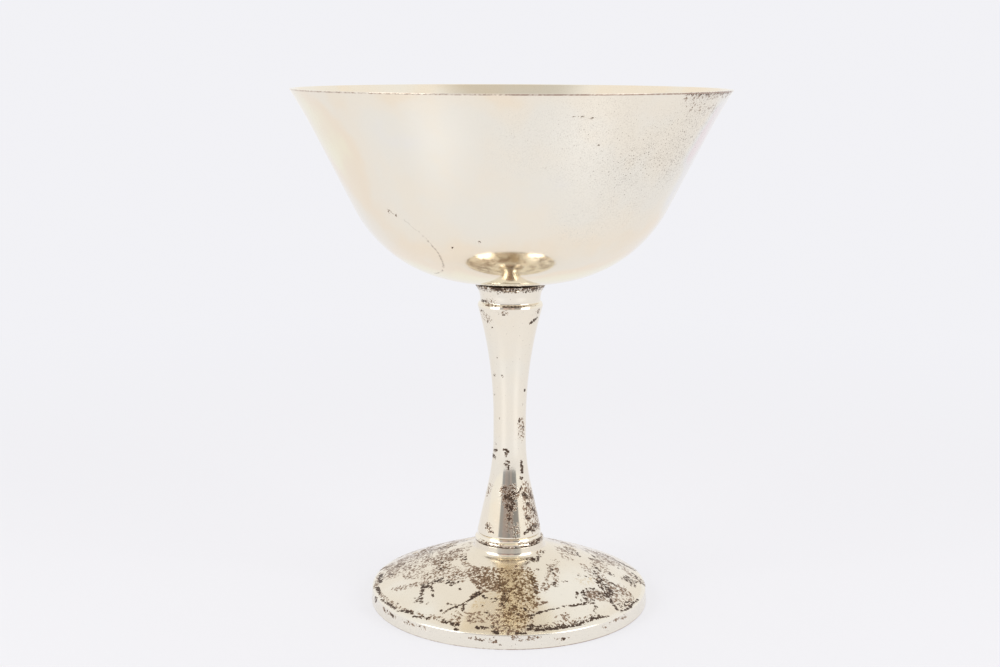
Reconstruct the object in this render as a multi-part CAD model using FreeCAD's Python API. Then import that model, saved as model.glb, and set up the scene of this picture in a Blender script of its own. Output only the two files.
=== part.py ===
import FreeCAD, Part
import math
import os

# A silver-plated cup: a spun bowl, a turned collar, a waisted tube stem, a ring collar and a
# spun foot, stacked on one axis and drawn together by a stud and a nut hidden in the foot.
# Millimetres, +Z up, origin at the centre of the face that the foot stands on.

# Whole cup
cup_height = 124.0
rim_radius = 51.1

# Bowl: dished bottom, round shoulder, straight wall and a slightly flared lip
bowl_wall = 0.8
bowl_bottom_height = 78.5
bowl_bottom_radius = 82.0
bowl_shoulder_radius = 31.2
bowl_bottom_slope = math.radians(10.0)
bowl_wall_slope = math.radians(63.3)
bowl_lip_slope = math.radians(58.0)
rim_rounding = 0.2

# Boss brazed under the bowl, tapped for the stud
boss_radius = 5.2
boss_base_height = 75.3

# Top collar: thin lip, trumpet, neck and the upper part of a bead
lip_radius = 8.3
lip_top_height = 78.4
lip_edge = 0.55
neck_radius = 7.22
trumpet_radius = 5.5
bead_radius = 1.15
bead_centre_radius = 6.6
bead_centre_height = 73.2
top_joint_height = 73.6
socket_clearance = 0.1

# Stem: a drawn tube, narrowest a third of the way up
stem_wall = 0.9
stem_base_height = 16.75
waist_radius = 3.95
waist_low = 41.0
waist_high = 45.0
upper_flare_radius = 104.0
lower_flare_radius = 58.0
cone_top_height = 28.5
stem_shoulder_rounding = 0.8

# Spigots that centre the stem on both collars
spigot_radius = 6.2
spigot_length = 2.2
spigot_clearance = 0.05

# Ring collar under the stem
ring_radius = 8.4
ring_base_height = 15.0
ring_edge = 0.3
ring_shoulder = 0.75
ring_shoulder_turn = math.radians(50.0)
cove_radius = 0.7
cove_pass_across = 0.35    # where the cove's arc passes, as a share of its radius
cove_pass_down = 0.62      # and of its height

# Foot: hub that widens downwards, domed cone, upright skirt and turned-in hem
foot_wall = 0.8
foot_radius = 33.9
crease_radius = 33.65
crease_height = 3.4
dome_radius = 240.0
hub_top_radius = 8.35
hub_root_radius = 8.7
hub_root_height = 13.0
hub_fillet = 0.8
hem_width = 2.0
edge_rounding = 0.25

# M5 stud and what clamps the foot to it
stud_radius = 2.5
stud_bottom_height = 6.2
stud_top_height = 78.0
stud_chamfer = 0.5
stud_hole_radius = 2.75
washer_radius = 7.0
washer_thickness = 1.3
spring_outer_radius = 4.4
spring_inner_radius = 2.6
spring_thickness = 1.2
spring_gap = 0.6
spring_gap_lean = 25.0
nut_sides = 6
nut_across_flats = 8.0
nut_height = 4.0
nut_chamfer_angle = math.radians(30.0)

axis_start = FreeCAD.Vector(0, 0, 0)
axis_up = FreeCAD.Vector(0, 0, 1)
point_tolerance = 1e-4
meeting_tolerance = 1e-5


def at(radius, height):
    return FreeCAD.Vector(radius, 0, height)


def run(*points):
    """Straight edges through the points in turn."""
    return [Part.LineSegment(a, b).toShape() for a, b in zip(points, points[1:])]


def bend(centre, radius, start, end):
    """Arc about a centre, from one angle to another, measured from +X towards +Z."""
    angles = (start, (start + end) / 2, end)
    ends = [centre + at(radius * math.cos(a), radius * math.sin(a)) for a in angles]
    return Part.Arc(*ends).toShape()


def first(edge):
    return edge.valueAt(edge.FirstParameter)


def last(edge):
    return edge.valueAt(edge.LastParameter)


def turned(edges):
    """Solid made by turning a closed outline about the axis."""
    outline = Part.Wire(Part.__sortEdges__(edges))
    return Part.Face(outline).revolve(axis_start, axis_up, 360)


def ring(outer, inner, low, high):
    """Plain ring between two radii and two heights."""
    height = high - low
    bottom = FreeCAD.Vector(0, 0, low)
    return Part.makeCylinder(outer, height, bottom).cut(Part.makeCylinder(inner, height, bottom))


def rounded(solid, rounding, radius, height):
    """Round the circular edge that lies at a radius and a height."""
    picked = []
    for edge in solid.Edges:
        if edge.Degenerated or not isinstance(edge.Curve, Part.Circle):
            continue
        circle = edge.Curve
        if abs(circle.Radius - radius) > point_tolerance:
            continue
        if abs(circle.Center.z - height) > point_tolerance:
            continue
        picked.append(edge)
    return solid.makeFillet(rounding, picked)


def slope_point(centre, radius, slope):
    """Point on the outside of an arc where its surface climbs at a slope."""
    return centre + at(radius * math.sin(slope), -radius * math.cos(slope))


def bowl_centres():
    """Centres of the bottom, shoulder and lip arcs, and where the straight wall starts and ends."""
    bottom = at(0, bowl_bottom_height + bowl_bottom_radius)
    shoulder = slope_point(bottom, bowl_bottom_radius - bowl_shoulder_radius, bowl_bottom_slope)
    wall_start = slope_point(shoulder, bowl_shoulder_radius, bowl_wall_slope)
    # The wall's length and the lip's radius follow from the rim that they have to reach.
    reach = rim_radius - wall_start.x
    climb = cup_height - wall_start.z
    turn_across = math.sin(bowl_wall_slope) - math.sin(bowl_lip_slope)
    turn_up = math.cos(bowl_lip_slope) - math.cos(bowl_wall_slope)
    across = math.cos(bowl_wall_slope)
    up = math.sin(bowl_wall_slope)
    scale = across * turn_up - up * turn_across
    wall_length = (reach * turn_up - climb * turn_across) / scale
    lip_arc_radius = (across * climb - up * reach) / scale
    wall_end = wall_start + at(wall_length * across, wall_length * up)
    lip = slope_point(wall_end, lip_arc_radius, bowl_wall_slope)
    return bottom, shoulder, wall_start, wall_end, lip, lip_arc_radius


def bowl_surface(inset):
    """Edges of the bowl from the axis to the rim, a distance inside its outer surface."""
    bottom, shoulder, wall_start, wall_end, lip, lip_arc_radius = bowl_centres()
    down = math.radians(-90)
    base_arc = bend(bottom, bowl_bottom_radius - inset, down, down + bowl_bottom_slope)
    shoulder_arc = bend(shoulder, bowl_shoulder_radius - inset,
                        down + bowl_bottom_slope, down + bowl_wall_slope)
    inward = at(-inset * math.sin(bowl_wall_slope), inset * math.cos(bowl_wall_slope))
    wall = run(wall_start + inward, wall_end + inward)
    lip_radius_here = lip_arc_radius + inset
    rim_angle = math.pi - math.asin((cup_height - lip.z) / lip_radius_here)
    lip_arc = bend(lip, lip_radius_here, math.radians(90) + bowl_wall_slope, rim_angle)
    return [base_arc, shoulder_arc] + wall + [lip_arc]


def make_bowl():
    outside = bowl_surface(0)
    inside = bowl_surface(bowl_wall)
    rim = run(last(outside[-1]), last(inside[-1]))
    axis = run(first(outside[0]), first(inside[0]))
    solid = turned(outside + rim + inside + axis)
    inner_rim_radius = last(inside[-1]).x
    solid = rounded(solid, rim_rounding, rim_radius, cup_height)
    return rounded(solid, rim_rounding, inner_rim_radius, cup_height)


def underside_height(radius):
    """Height of the bowl's dished bottom at a radius."""
    drop = math.sqrt(bowl_bottom_radius ** 2 - radius ** 2)
    return bowl_bottom_height + bowl_bottom_radius - drop


def make_bowl_boss():
    bottom = at(0, bowl_bottom_height + bowl_bottom_radius)
    angles = [math.asin(r / bowl_bottom_radius) for r in (stud_radius, boss_radius)]
    seat = bend(bottom, bowl_bottom_radius, *[a - math.radians(90) for a in angles])
    sides = run(at(stud_radius, underside_height(stud_radius)),
                at(stud_radius, boss_base_height),
                at(boss_radius, boss_base_height),
                at(boss_radius, underside_height(boss_radius)))
    return turned([seat] + sides)


def bead_angle(height):
    return math.asin((height - bead_centre_height) / bead_radius)


def make_top_collar():
    bead_centre = at(bead_centre_radius, bead_centre_height)
    neck_angle = math.acos((neck_radius - bead_centre_radius) / bead_radius)
    bead = bend(bead_centre, bead_radius, bead_angle(top_joint_height), neck_angle)
    neck = last(bead)
    lip_bottom = at(lip_radius, lip_top_height - lip_edge)
    # The trumpet bows inward between the neck and the lip.
    chord = lip_bottom - neck
    middle = (neck + lip_bottom) / 2
    sag = trumpet_radius - math.sqrt(trumpet_radius ** 2 - (chord.Length / 2) ** 2)
    inward = at(-chord.z, chord.x).normalize()
    trumpet = Part.Arc(neck, middle + inward * sag, lip_bottom).toShape()
    socket_radius = boss_radius + socket_clearance
    spigot_end = top_joint_height - spigot_length
    inner = run(lip_bottom,
                at(lip_radius, lip_top_height),
                at(socket_radius, lip_top_height),
                at(socket_radius, boss_base_height),
                at(stud_hole_radius, boss_base_height),
                at(stud_hole_radius, spigot_end),
                at(spigot_radius, spigot_end),
                at(spigot_radius, top_joint_height),
                first(bead))
    return turned([bead, trumpet] + inner)


def lower_flare(inset):
    """Arc of the stem below its waist, and the slope of the cone that it runs into."""
    radius = lower_flare_radius + inset
    centre = at(waist_radius + lower_flare_radius, waist_low)
    turn = math.asin((waist_low - cone_top_height) / lower_flare_radius)
    return bend(centre, radius, math.pi, math.pi + turn), math.tan(turn)


def upper_flare(inset, top_height):
    """Arc of the stem above its waist, up to a height."""
    radius = upper_flare_radius + inset
    centre = at(waist_radius + upper_flare_radius, waist_high)
    turn = math.asin((top_height - waist_high) / radius)
    return bend(centre, radius, math.pi, math.pi - turn)


def stem_surface(inset, low_height, high_height):
    """Edges of the stem from one height to another, a distance inside its outer surface."""
    flare_down, widening = lower_flare(inset)
    cone_start = last(flare_down)
    cone_end = at(cone_start.x + (cone_start.z - low_height) * widening, low_height)
    flare_up = upper_flare(inset, high_height)
    waist = run(first(flare_down), first(flare_up))
    return run(cone_end, cone_start) + [flare_down] + waist + [flare_up]


def bead_meets_stem():
    """Height at which the stem's upper flare runs into the bead."""
    low = bead_centre_height - bead_radius
    high = bead_centre_height
    while high - low > meeting_tolerance:
        height = (low + high) / 2
        rise = height - waist_high
        stem = waist_radius + upper_flare_radius - math.sqrt(upper_flare_radius ** 2 - rise ** 2)
        bead = bead_centre_radius + math.sqrt(bead_radius ** 2 - (height - bead_centre_height) ** 2)
        if bead < stem:
            low = height
        else:
            high = height
    return high


def upper_flare_to(bead):
    """Arc of the stem above its waist that ends exactly where the bead begins."""
    meeting = first(bead)
    start = at(waist_radius, waist_high)
    centre = at(waist_radius + upper_flare_radius, waist_high)
    halfway = math.asin((meeting.z - waist_high) / upper_flare_radius) / 2
    middle = centre + at(-upper_flare_radius * math.cos(halfway),
                         upper_flare_radius * math.sin(halfway))
    return Part.Arc(start, middle, meeting).toShape()


def make_stem_tube():
    meeting = bead_meets_stem()
    outside = stem_surface(0, stem_base_height, meeting)
    bead_centre = at(bead_centre_radius, bead_centre_height)
    bead = bend(bead_centre, bead_radius, bead_angle(meeting), bead_angle(top_joint_height))
    bore_radius = spigot_radius + spigot_clearance
    low_seat = stem_base_height + spigot_length + spigot_clearance
    high_seat = top_joint_height - spigot_length - spigot_clearance
    inside = stem_surface(stem_wall, low_seat, high_seat)
    base = run(first(outside[0]), at(bore_radius, stem_base_height),
               at(bore_radius, low_seat), first(inside[0]))
    top = run(last(inside[-1]), at(bore_radius, high_seat),
              at(bore_radius, top_joint_height), last(bead))
    # The flare is drawn again to end exactly where the bead begins.
    outside[-1] = upper_flare_to(bead)
    solid = turned(base + outside + [bead] + top + inside)
    return rounded(solid, stem_shoulder_rounding, first(base[0]).x, stem_base_height)


def make_base_collar():
    shoulder_centre = at(ring_radius - ring_shoulder, ring_base_height + ring_edge)
    shoulder = bend(shoulder_centre, ring_shoulder, 0, ring_shoulder_turn)
    cove_start = last(shoulder)
    top_inner = at(cove_start.x - cove_radius * math.sin(ring_shoulder_turn), stem_base_height)
    drop = stem_base_height - cove_start.z
    way_point = top_inner + at(cove_radius * cove_pass_across, -drop * cove_pass_down)
    cove = Part.Arc(top_inner, way_point, cove_start).toShape()
    rest = run(top_inner,
               at(spigot_radius, stem_base_height),
               at(spigot_radius, stem_base_height + spigot_length),
               at(stud_hole_radius, stem_base_height + spigot_length),
               at(stud_hole_radius, ring_base_height),
               at(ring_radius, ring_base_height),
               first(shoulder))
    return turned([shoulder, cove] + rest)


def dome_centre():
    """Centre of the arc that joins the crease to the root of the hub."""
    outer = at(crease_radius, crease_height)
    inner = at(hub_root_radius, hub_root_height)
    chord = inner - outer
    depth = math.sqrt(dome_radius ** 2 - (chord.Length / 2) ** 2)
    downward = at(-chord.z, chord.x).normalize()
    return (outer + inner) / 2 + downward * depth


def dome_height(radius, inset):
    """Height of the dome at a radius, a distance inside its outer surface."""
    centre = dome_centre()
    return centre.z + math.sqrt((dome_radius - inset) ** 2 - (radius - centre.x) ** 2)


def dome_arc(inset, outer_radius, inner_radius):
    """Arc of the dome between two radii, a distance inside its outer surface."""
    radii = (outer_radius, (outer_radius + inner_radius) / 2, inner_radius)
    return Part.Arc(*[at(r, dome_height(r, inset)) for r in radii]).toShape()


def make_foot_shell():
    skirt_inner = crease_radius - foot_wall
    hub_ceiling = ring_base_height - foot_wall
    dome_top = dome_arc(0, crease_radius, hub_root_radius)
    dome_under = dome_arc(foot_wall, skirt_inner, hub_root_radius - foot_wall)
    hub = run(last(dome_top),
              at(hub_top_radius, ring_base_height),
              at(stud_hole_radius, ring_base_height),
              at(stud_hole_radius, hub_ceiling),
              at(hub_top_radius - foot_wall, hub_ceiling),
              last(dome_under))
    hem_inner = foot_radius - hem_width
    skirt = run(first(dome_under),
                at(skirt_inner, foot_wall),
                at(hem_inner, foot_wall),
                at(hem_inner, 0),
                at(foot_radius, 0),
                first(dome_top))
    solid = turned([dome_top, dome_under] + hub + skirt)
    solid = rounded(solid, hub_fillet, hub_root_radius, hub_root_height)
    solid = rounded(solid, edge_rounding, crease_radius, crease_height)
    return rounded(solid, edge_rounding, foot_radius, 0)


def make_tie_stud():
    waist = stud_radius - stud_chamfer
    outline = run(at(0, stud_bottom_height),
                  at(waist, stud_bottom_height),
                  at(stud_radius, stud_bottom_height + stud_chamfer),
                  at(stud_radius, stud_top_height - stud_chamfer),
                  at(waist, stud_top_height),
                  at(0, stud_top_height),
                  at(0, stud_bottom_height))
    return turned(outline)


def washer_base():
    return ring_base_height - foot_wall - washer_thickness


def spring_base():
    return washer_base() - spring_thickness


def make_clamp_washer():
    return ring(washer_radius, stud_hole_radius, washer_base(), washer_base() + washer_thickness)


def make_spring_washer():
    """Split ring, pressed flat, with its ends cut on a lean."""
    band = ring(spring_outer_radius, spring_inner_radius, spring_base(), washer_base())
    reach = 2 * spring_outer_radius
    corner = FreeCAD.Vector(0, -spring_gap / 2, -reach / 2)
    slot = Part.makeBox(reach, spring_gap, reach, corner)
    slot.rotate(axis_start, FreeCAD.Vector(1, 0, 0), spring_gap_lean)
    slot.translate(FreeCAD.Vector(0, 0, spring_base() + spring_thickness / 2))
    return band.cut(slot)


def nut_bevel(top):
    """Cone that takes the corners off one end of the nut."""
    flat = nut_across_flats / 2
    reach = nut_across_flats
    drop = (reach - flat) * math.tan(nut_chamfer_angle)
    height = nut_height / 2 + drop
    cone = Part.makeCone(flat + height / math.tan(nut_chamfer_angle), flat, height)
    if not top:
        cone.rotate(axis_start, FreeCAD.Vector(1, 0, 0), 180)
        cone.translate(FreeCAD.Vector(0, 0, height))
        return cone
    cone.translate(FreeCAD.Vector(0, 0, nut_height - height))
    return cone


def make_clamp_nut():
    corner_radius = nut_across_flats / 2 / math.cos(math.pi / nut_sides)
    corners = []
    for side in range(nut_sides + 1):
        angle = 2 * math.pi * side / nut_sides
        corners.append(FreeCAD.Vector(corner_radius * math.cos(angle),
                                      corner_radius * math.sin(angle), 0))
    prism = Part.Face(Part.makePolygon(corners)).extrude(FreeCAD.Vector(0, 0, nut_height))
    prism = prism.common(nut_bevel(True)).common(nut_bevel(False))
    nut = prism.cut(Part.makeCylinder(stud_radius, nut_height))
    nut.translate(FreeCAD.Vector(0, 0, spring_base() - nut_height))
    return nut


makers = {
    "bowl": make_bowl,
    "bowl_boss": make_bowl_boss,
    "top_collar": make_top_collar,
    "stem_tube": make_stem_tube,
    "base_collar": make_base_collar,
    "foot_shell": make_foot_shell,
    "tie_stud": make_tie_stud,
    "clamp_washer": make_clamp_washer,
    "spring_washer": make_spring_washer,
    "clamp_nut": make_clamp_nut,
}

os.makedirs("parts", exist_ok=True)
for name, make in makers.items():
    shape = make()
    solid = shape.Solids[0]
    print(name, "valid", solid.isValid(), "solids", len(shape.Solids),
          "volume mm3 %.1f" % solid.Volume)
    solid.exportStep("parts/%s.step" % name)
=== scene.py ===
import math

import bmesh
import bpy
import numpy as np
from mathutils import Matrix, Vector


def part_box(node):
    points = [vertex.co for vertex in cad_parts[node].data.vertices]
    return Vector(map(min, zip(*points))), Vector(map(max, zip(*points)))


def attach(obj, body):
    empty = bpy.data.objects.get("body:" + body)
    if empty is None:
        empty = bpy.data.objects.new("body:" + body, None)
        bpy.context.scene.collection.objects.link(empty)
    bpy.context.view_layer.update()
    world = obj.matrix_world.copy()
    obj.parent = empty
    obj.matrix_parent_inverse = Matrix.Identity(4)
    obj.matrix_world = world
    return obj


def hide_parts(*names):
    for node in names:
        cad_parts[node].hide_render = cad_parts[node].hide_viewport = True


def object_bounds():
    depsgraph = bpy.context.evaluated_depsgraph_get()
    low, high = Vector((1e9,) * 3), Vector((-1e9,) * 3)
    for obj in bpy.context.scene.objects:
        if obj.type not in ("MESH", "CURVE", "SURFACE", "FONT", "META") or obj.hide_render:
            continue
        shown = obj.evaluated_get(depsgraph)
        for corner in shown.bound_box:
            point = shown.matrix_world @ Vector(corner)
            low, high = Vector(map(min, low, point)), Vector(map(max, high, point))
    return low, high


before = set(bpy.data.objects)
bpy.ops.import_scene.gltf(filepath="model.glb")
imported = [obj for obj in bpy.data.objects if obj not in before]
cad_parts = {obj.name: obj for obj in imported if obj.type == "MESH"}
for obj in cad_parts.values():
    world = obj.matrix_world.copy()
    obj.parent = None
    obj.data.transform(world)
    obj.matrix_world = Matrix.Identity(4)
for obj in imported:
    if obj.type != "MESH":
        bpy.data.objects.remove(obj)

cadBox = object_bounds()
mm = 0.001    # the shapes below are in millimetres, the scene in metres
onAxis = 1e-6    # a radius this small counts as the axis itself
measured = {node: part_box(node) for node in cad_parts}
print("frame loaded:", ", ".join(sorted(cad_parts)))


def nodeTop(node):
    return measured[node][1].z / mm


def nodeBottom(node):
    return measured[node][0].z / mm


def nodeRadius(node):
    return measured[node][1].x / mm


# Outlines are lists of (radius, height) points, which the lathe turns about the cup's axis.

def arcPoints(centre, radius, startDeg, endDeg, spacing):
    length = abs(math.radians(endDeg - startDeg)) * radius
    steps = max(4, math.ceil(length / spacing))
    points = []
    for i in range(steps + 1):
        angle = math.radians(startDeg + (endDeg - startDeg) * i / steps)
        points.append((centre[0] + radius * math.cos(angle), centre[1] + radius * math.sin(angle)))
    return points


def linePoints(start, end, spacing):
    steps = max(1, math.ceil(math.dist(start, end) / spacing))
    return [(start[0] + (end[0] - start[0]) * i / steps,
             start[1] + (end[1] - start[1]) * i / steps) for i in range(steps + 1)]


def bowedPoints(start, end, sag, spacing):
    # Arc between two points, bowed to the left of the way from start to end.
    half = math.dist(start, end) / 2
    radius = (half * half + sag * sag) / (2 * sag)
    across = (-(end[1] - start[1]) / (2 * half), (end[0] - start[0]) / (2 * half))
    middle = ((start[0] + end[0]) / 2, (start[1] + end[1]) / 2)
    back = radius - sag
    centre = (middle[0] - across[0] * back, middle[1] - across[1] * back)
    first = math.degrees(math.atan2(start[1] - centre[1], start[0] - centre[0]))
    last = math.degrees(math.atan2(end[1] - centre[1], end[0] - centre[0]))
    turn = (last - first + 180) % 360 - 180
    return arcPoints(centre, radius, first, first + turn, spacing)


def trimEnd(points, reach):
    left = list(points)
    while len(left) > 2 and math.dist(left[-1], left[-2]) <= reach:
        reach -= math.dist(left[-1], left[-2])
        left.pop()
    share = min(0.95, reach / math.dist(left[-1], left[-2]))
    end = tuple(b + (a - b) * share for a, b in zip(left[-2], left[-1]))
    return left[:-1] + [end]


def joinSoftly(left, right, reach, steps=6):
    # Joins two stretches whose ends meet, and rounds the corner over a short reach each way.
    corner = left[-1]
    head = trimEnd(left, reach)
    tail = trimEnd(right[::-1], reach)[::-1]
    curve = []
    for i in range(1, steps):
        t = i / steps
        curve.append(tuple((1 - t) ** 2 * a + 2 * t * (1 - t) * c + t * t * b
                           for a, c, b in zip(head[-1], corner, tail[0])))
    return head + curve + tail


def chain(first, *rest):
    outline = list(first)
    for stretch, reach in rest:
        if reach:
            outline = joinSoftly(outline, stretch, reach)
        else:
            outline += stretch[1:]
    return outline


def closeSoftly(outline, reach):
    # The outline's last point is its first: round that corner as well.
    middle = len(outline) // 2
    return joinSoftly(outline[middle:], outline[:middle + 1], reach)[:-1]


def latheObject(name, outline, segments, closed=True):
    vertices = []
    rings = []
    for radius, height in outline:
        if radius < onAxis:
            rings.append([len(vertices)])
            vertices.append((0.0, 0.0, height * mm))
            continue
        ring = []
        for s in range(segments):
            angle = 2 * math.pi * s / segments
            ring.append(len(vertices))
            vertices.append((radius * mm * math.sin(angle), -radius * mm * math.cos(angle), height * mm))
        rings.append(ring)
    faces = []
    pairs = list(zip(rings, rings[1:]))
    if closed:
        pairs.append((rings[-1], rings[0]))
    for low, high in pairs:
        if len(low) == 1 and len(high) == 1:
            continue
        for s in range(segments):
            t = (s + 1) % segments
            if len(low) == 1:
                faces.append((low[0], high[t], high[s]))
            elif len(high) == 1:
                faces.append((low[s], low[t], high[0]))
            else:
                faces.append((low[s], low[t], high[t], high[s]))
    return meshObject(name, vertices, faces)


def meshObject(name, vertices, faces):
    mesh = bpy.data.meshes.new(name)
    mesh.from_pydata(vertices, [], faces)
    mesh.validate()
    work = bmesh.new()
    work.from_mesh(mesh)
    bmesh.ops.recalc_face_normals(work, faces=work.faces)
    work.to_mesh(mesh)
    work.free()
    mesh.polygons.foreach_set("use_smooth", [True] * len(mesh.polygons))
    made = bpy.data.objects.new(name, mesh)
    bpy.context.scene.collection.objects.link(made)
    return made


def meshPoints(made):
    points = np.empty(len(made.data.vertices) * 3)
    made.data.vertices.foreach_get("co", points)
    return points.reshape(-1, 3) / mm


def movePoints(made, points):
    made.data.vertices.foreach_set("co", (points * mm).ravel())
    made.data.update()


def aroundAxis(azimuth, radius, height):
    # Azimuth is in degrees from the front of the cup, growing towards its right.
    angle = math.radians(azimuth)
    return (radius * math.sin(angle), -radius * math.cos(angle), height)


def distanceToPath(points, path):
    if len(path) == 1:
        return np.linalg.norm(points - np.array(path[0]), axis=1)
    nearest = np.full(len(points), np.inf)
    for start, end in zip(path, path[1:]):
        start, end = np.array(start), np.array(end)
        along = end - start
        share = np.clip((points - start) @ along / (along @ along), 0, 1)
        gap = np.linalg.norm(points - start - share[:, None] * along, axis=1)
        nearest = np.minimum(nearest, gap)
    return nearest


def fade(distance, inner, outer):
    t = np.clip((outer - distance) / (outer - inner), 0, 1)
    return t * t * (3 - 2 * t)


def paint(made, layer, strokes, base=0.0, gentle=False, where=None, elsewhere=0.0):
    # The strongest stroke shows. A gentle layer is pulled towards each stroke's value instead.
    points = meshPoints(made)
    value = np.full(len(points), float(base))
    for strength, width, soft, path in strokes:
        edge = width * (1 + soft)
        corners = np.array(path)
        near = ((points > corners.min(0) - edge) & (points < corners.max(0) + edge)).all(axis=1)
        if not near.any():
            continue
        cover = fade(distanceToPath(points[near], path), width * (1 - soft), edge)
        if gentle:
            value[near] += (strength - value[near]) * cover
        else:
            value[near] = np.maximum(value[near], strength * cover)
    if where is not None:
        value = np.where(where, value, elsewhere)
    attribute = made.data.attributes.new(layer, "FLOAT", "POINT")
    attribute.data.foreach_set("value", value)


# Shader helpers

def emptyTree(owner):
    owner.use_nodes = True
    owner.node_tree.nodes.clear()
    return owner.node_tree


def startMaterial(name):
    material = bpy.data.materials.new(name)
    tree = emptyTree(material)
    output = tree.nodes.new("ShaderNodeOutputMaterial")
    shader = tree.nodes.new("ShaderNodeBsdfPrincipled")
    tree.links.new(shader.outputs["BSDF"], output.inputs["Surface"])
    return material, tree, shader


def feed(tree, socket, value):
    if isinstance(value, bpy.types.NodeSocket):
        tree.links.new(value, socket)
    elif hasattr(value, "__len__") and len(value) == 3 and len(socket.default_value) == 4:
        socket.default_value = (*value, 1.0)
    else:
        socket.default_value = value


def calc(tree, operation, a, b=0.0, c=0.0, clamp=False):
    node = tree.nodes.new("ShaderNodeMath")
    node.operation = operation
    node.use_clamp = clamp
    for socket, value in zip(node.inputs, (a, b, c)):
        feed(tree, socket, value)
    return node.outputs[0]


def offBy(tree, value, middle):
    return calc(tree, "ABSOLUTE", calc(tree, "SUBTRACT", value, middle))


def step(tree, value, low, high, toLow=0.0, toHigh=1.0):
    node = tree.nodes.new("ShaderNodeMapRange")
    node.interpolation_type = "SMOOTHSTEP"
    for socket, given in zip(node.inputs[:5], (value, low, high, toLow, toHigh)):
        feed(tree, socket, given)
    return node.outputs[0]


def blend(tree, share, a, b):
    node = tree.nodes.new("ShaderNodeMix")
    node.data_type = "RGBA"
    feed(tree, node.inputs[0], share)
    feed(tree, node.inputs[6], a)
    feed(tree, node.inputs[7], b)
    return node.outputs[2]


def ramp(tree, share, stops, smooth=False):
    node = tree.nodes.new("ShaderNodeValToRGB")
    node.color_ramp.interpolation = "EASE" if smooth else "LINEAR"
    elements = node.color_ramp.elements
    while len(elements) < len(stops):
        elements.new(0.5)
    for element, (position, colour) in zip(elements, stops):
        element.position = position
        element.color = (*colour, 1.0)
    feed(tree, node.inputs[0], share)
    return node.outputs[0]


def grain(tree, vector, scale, detail=4.0, roughness=0.55, distortion=0.0):
    node = tree.nodes.new("ShaderNodeTexNoise")
    feed(tree, node.inputs["Vector"], vector)
    node.inputs["Scale"].default_value = scale
    node.inputs["Detail"].default_value = detail
    node.inputs["Roughness"].default_value = roughness
    node.inputs["Distortion"].default_value = distortion
    return node.outputs[0]


def cells(tree, vector, scale):
    node = tree.nodes.new("ShaderNodeTexVoronoi")
    feed(tree, node.inputs["Vector"], vector)
    node.inputs["Scale"].default_value = scale
    return node


def vectorCalc(tree, operation, a, b):
    node = tree.nodes.new("ShaderNodeVectorMath")
    node.operation = operation
    feed(tree, node.inputs[0], a)
    if operation == "SCALE":
        feed(tree, node.inputs["Scale"], b)
    else:
        feed(tree, node.inputs[1], b)
    return node.outputs["Value"] if operation in ("LENGTH", "DOT_PRODUCT") else node.outputs[0]


def azimuthOf(tree, way):
    # How far round from the cup's front a direction points, in radians, and its height
    parts = tree.nodes.new("ShaderNodeSeparateXYZ")
    tree.links.new(way, parts.inputs[0])
    ahead = calc(tree, "MULTIPLY", parts.outputs["Y"], -1.0)
    return calc(tree, "ARCTAN2", parts.outputs["X"], ahead), parts.outputs["Z"]


def mixShaders(tree, share, first, second):
    node = tree.nodes.new("ShaderNodeMixShader")
    for socket, source in zip(node.inputs, (share, first, second)):
        tree.links.new(source, socket)
    return node.outputs[0]


def inMillimetres(tree):
    coordinates = tree.nodes.new("ShaderNodeTexCoord")
    return vectorCalc(tree, "SCALE", coordinates.outputs["Object"], 1 / mm)


def painted(tree, layer):
    node = tree.nodes.new("ShaderNodeAttribute")
    node.attribute_name = layer
    return node.outputs["Fac"]


def bump(tree, shader, height, depth):
    node = tree.nodes.new("ShaderNodeBump")
    node.inputs["Strength"].default_value = 1.0
    node.inputs["Distance"].default_value = depth * mm
    feed(tree, node.inputs["Height"], height)
    tree.links.new(node.outputs["Normal"], shader.inputs["Normal"])


print("helpers ready")


# Silver plate, shared by every outside piece. The painted layers say where it is worn, and where painted
# shade darkens
# the joints: film tints the clean plate, stain is smooth and golden, the tarnish layer is mottled tarnish
# and at the joints painted shade, marks are dark and sharp, at the joints painted shade too, pits are tiny
# dots, scratch shows a thin scratch and rimStain a brown line along a rim.

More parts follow.
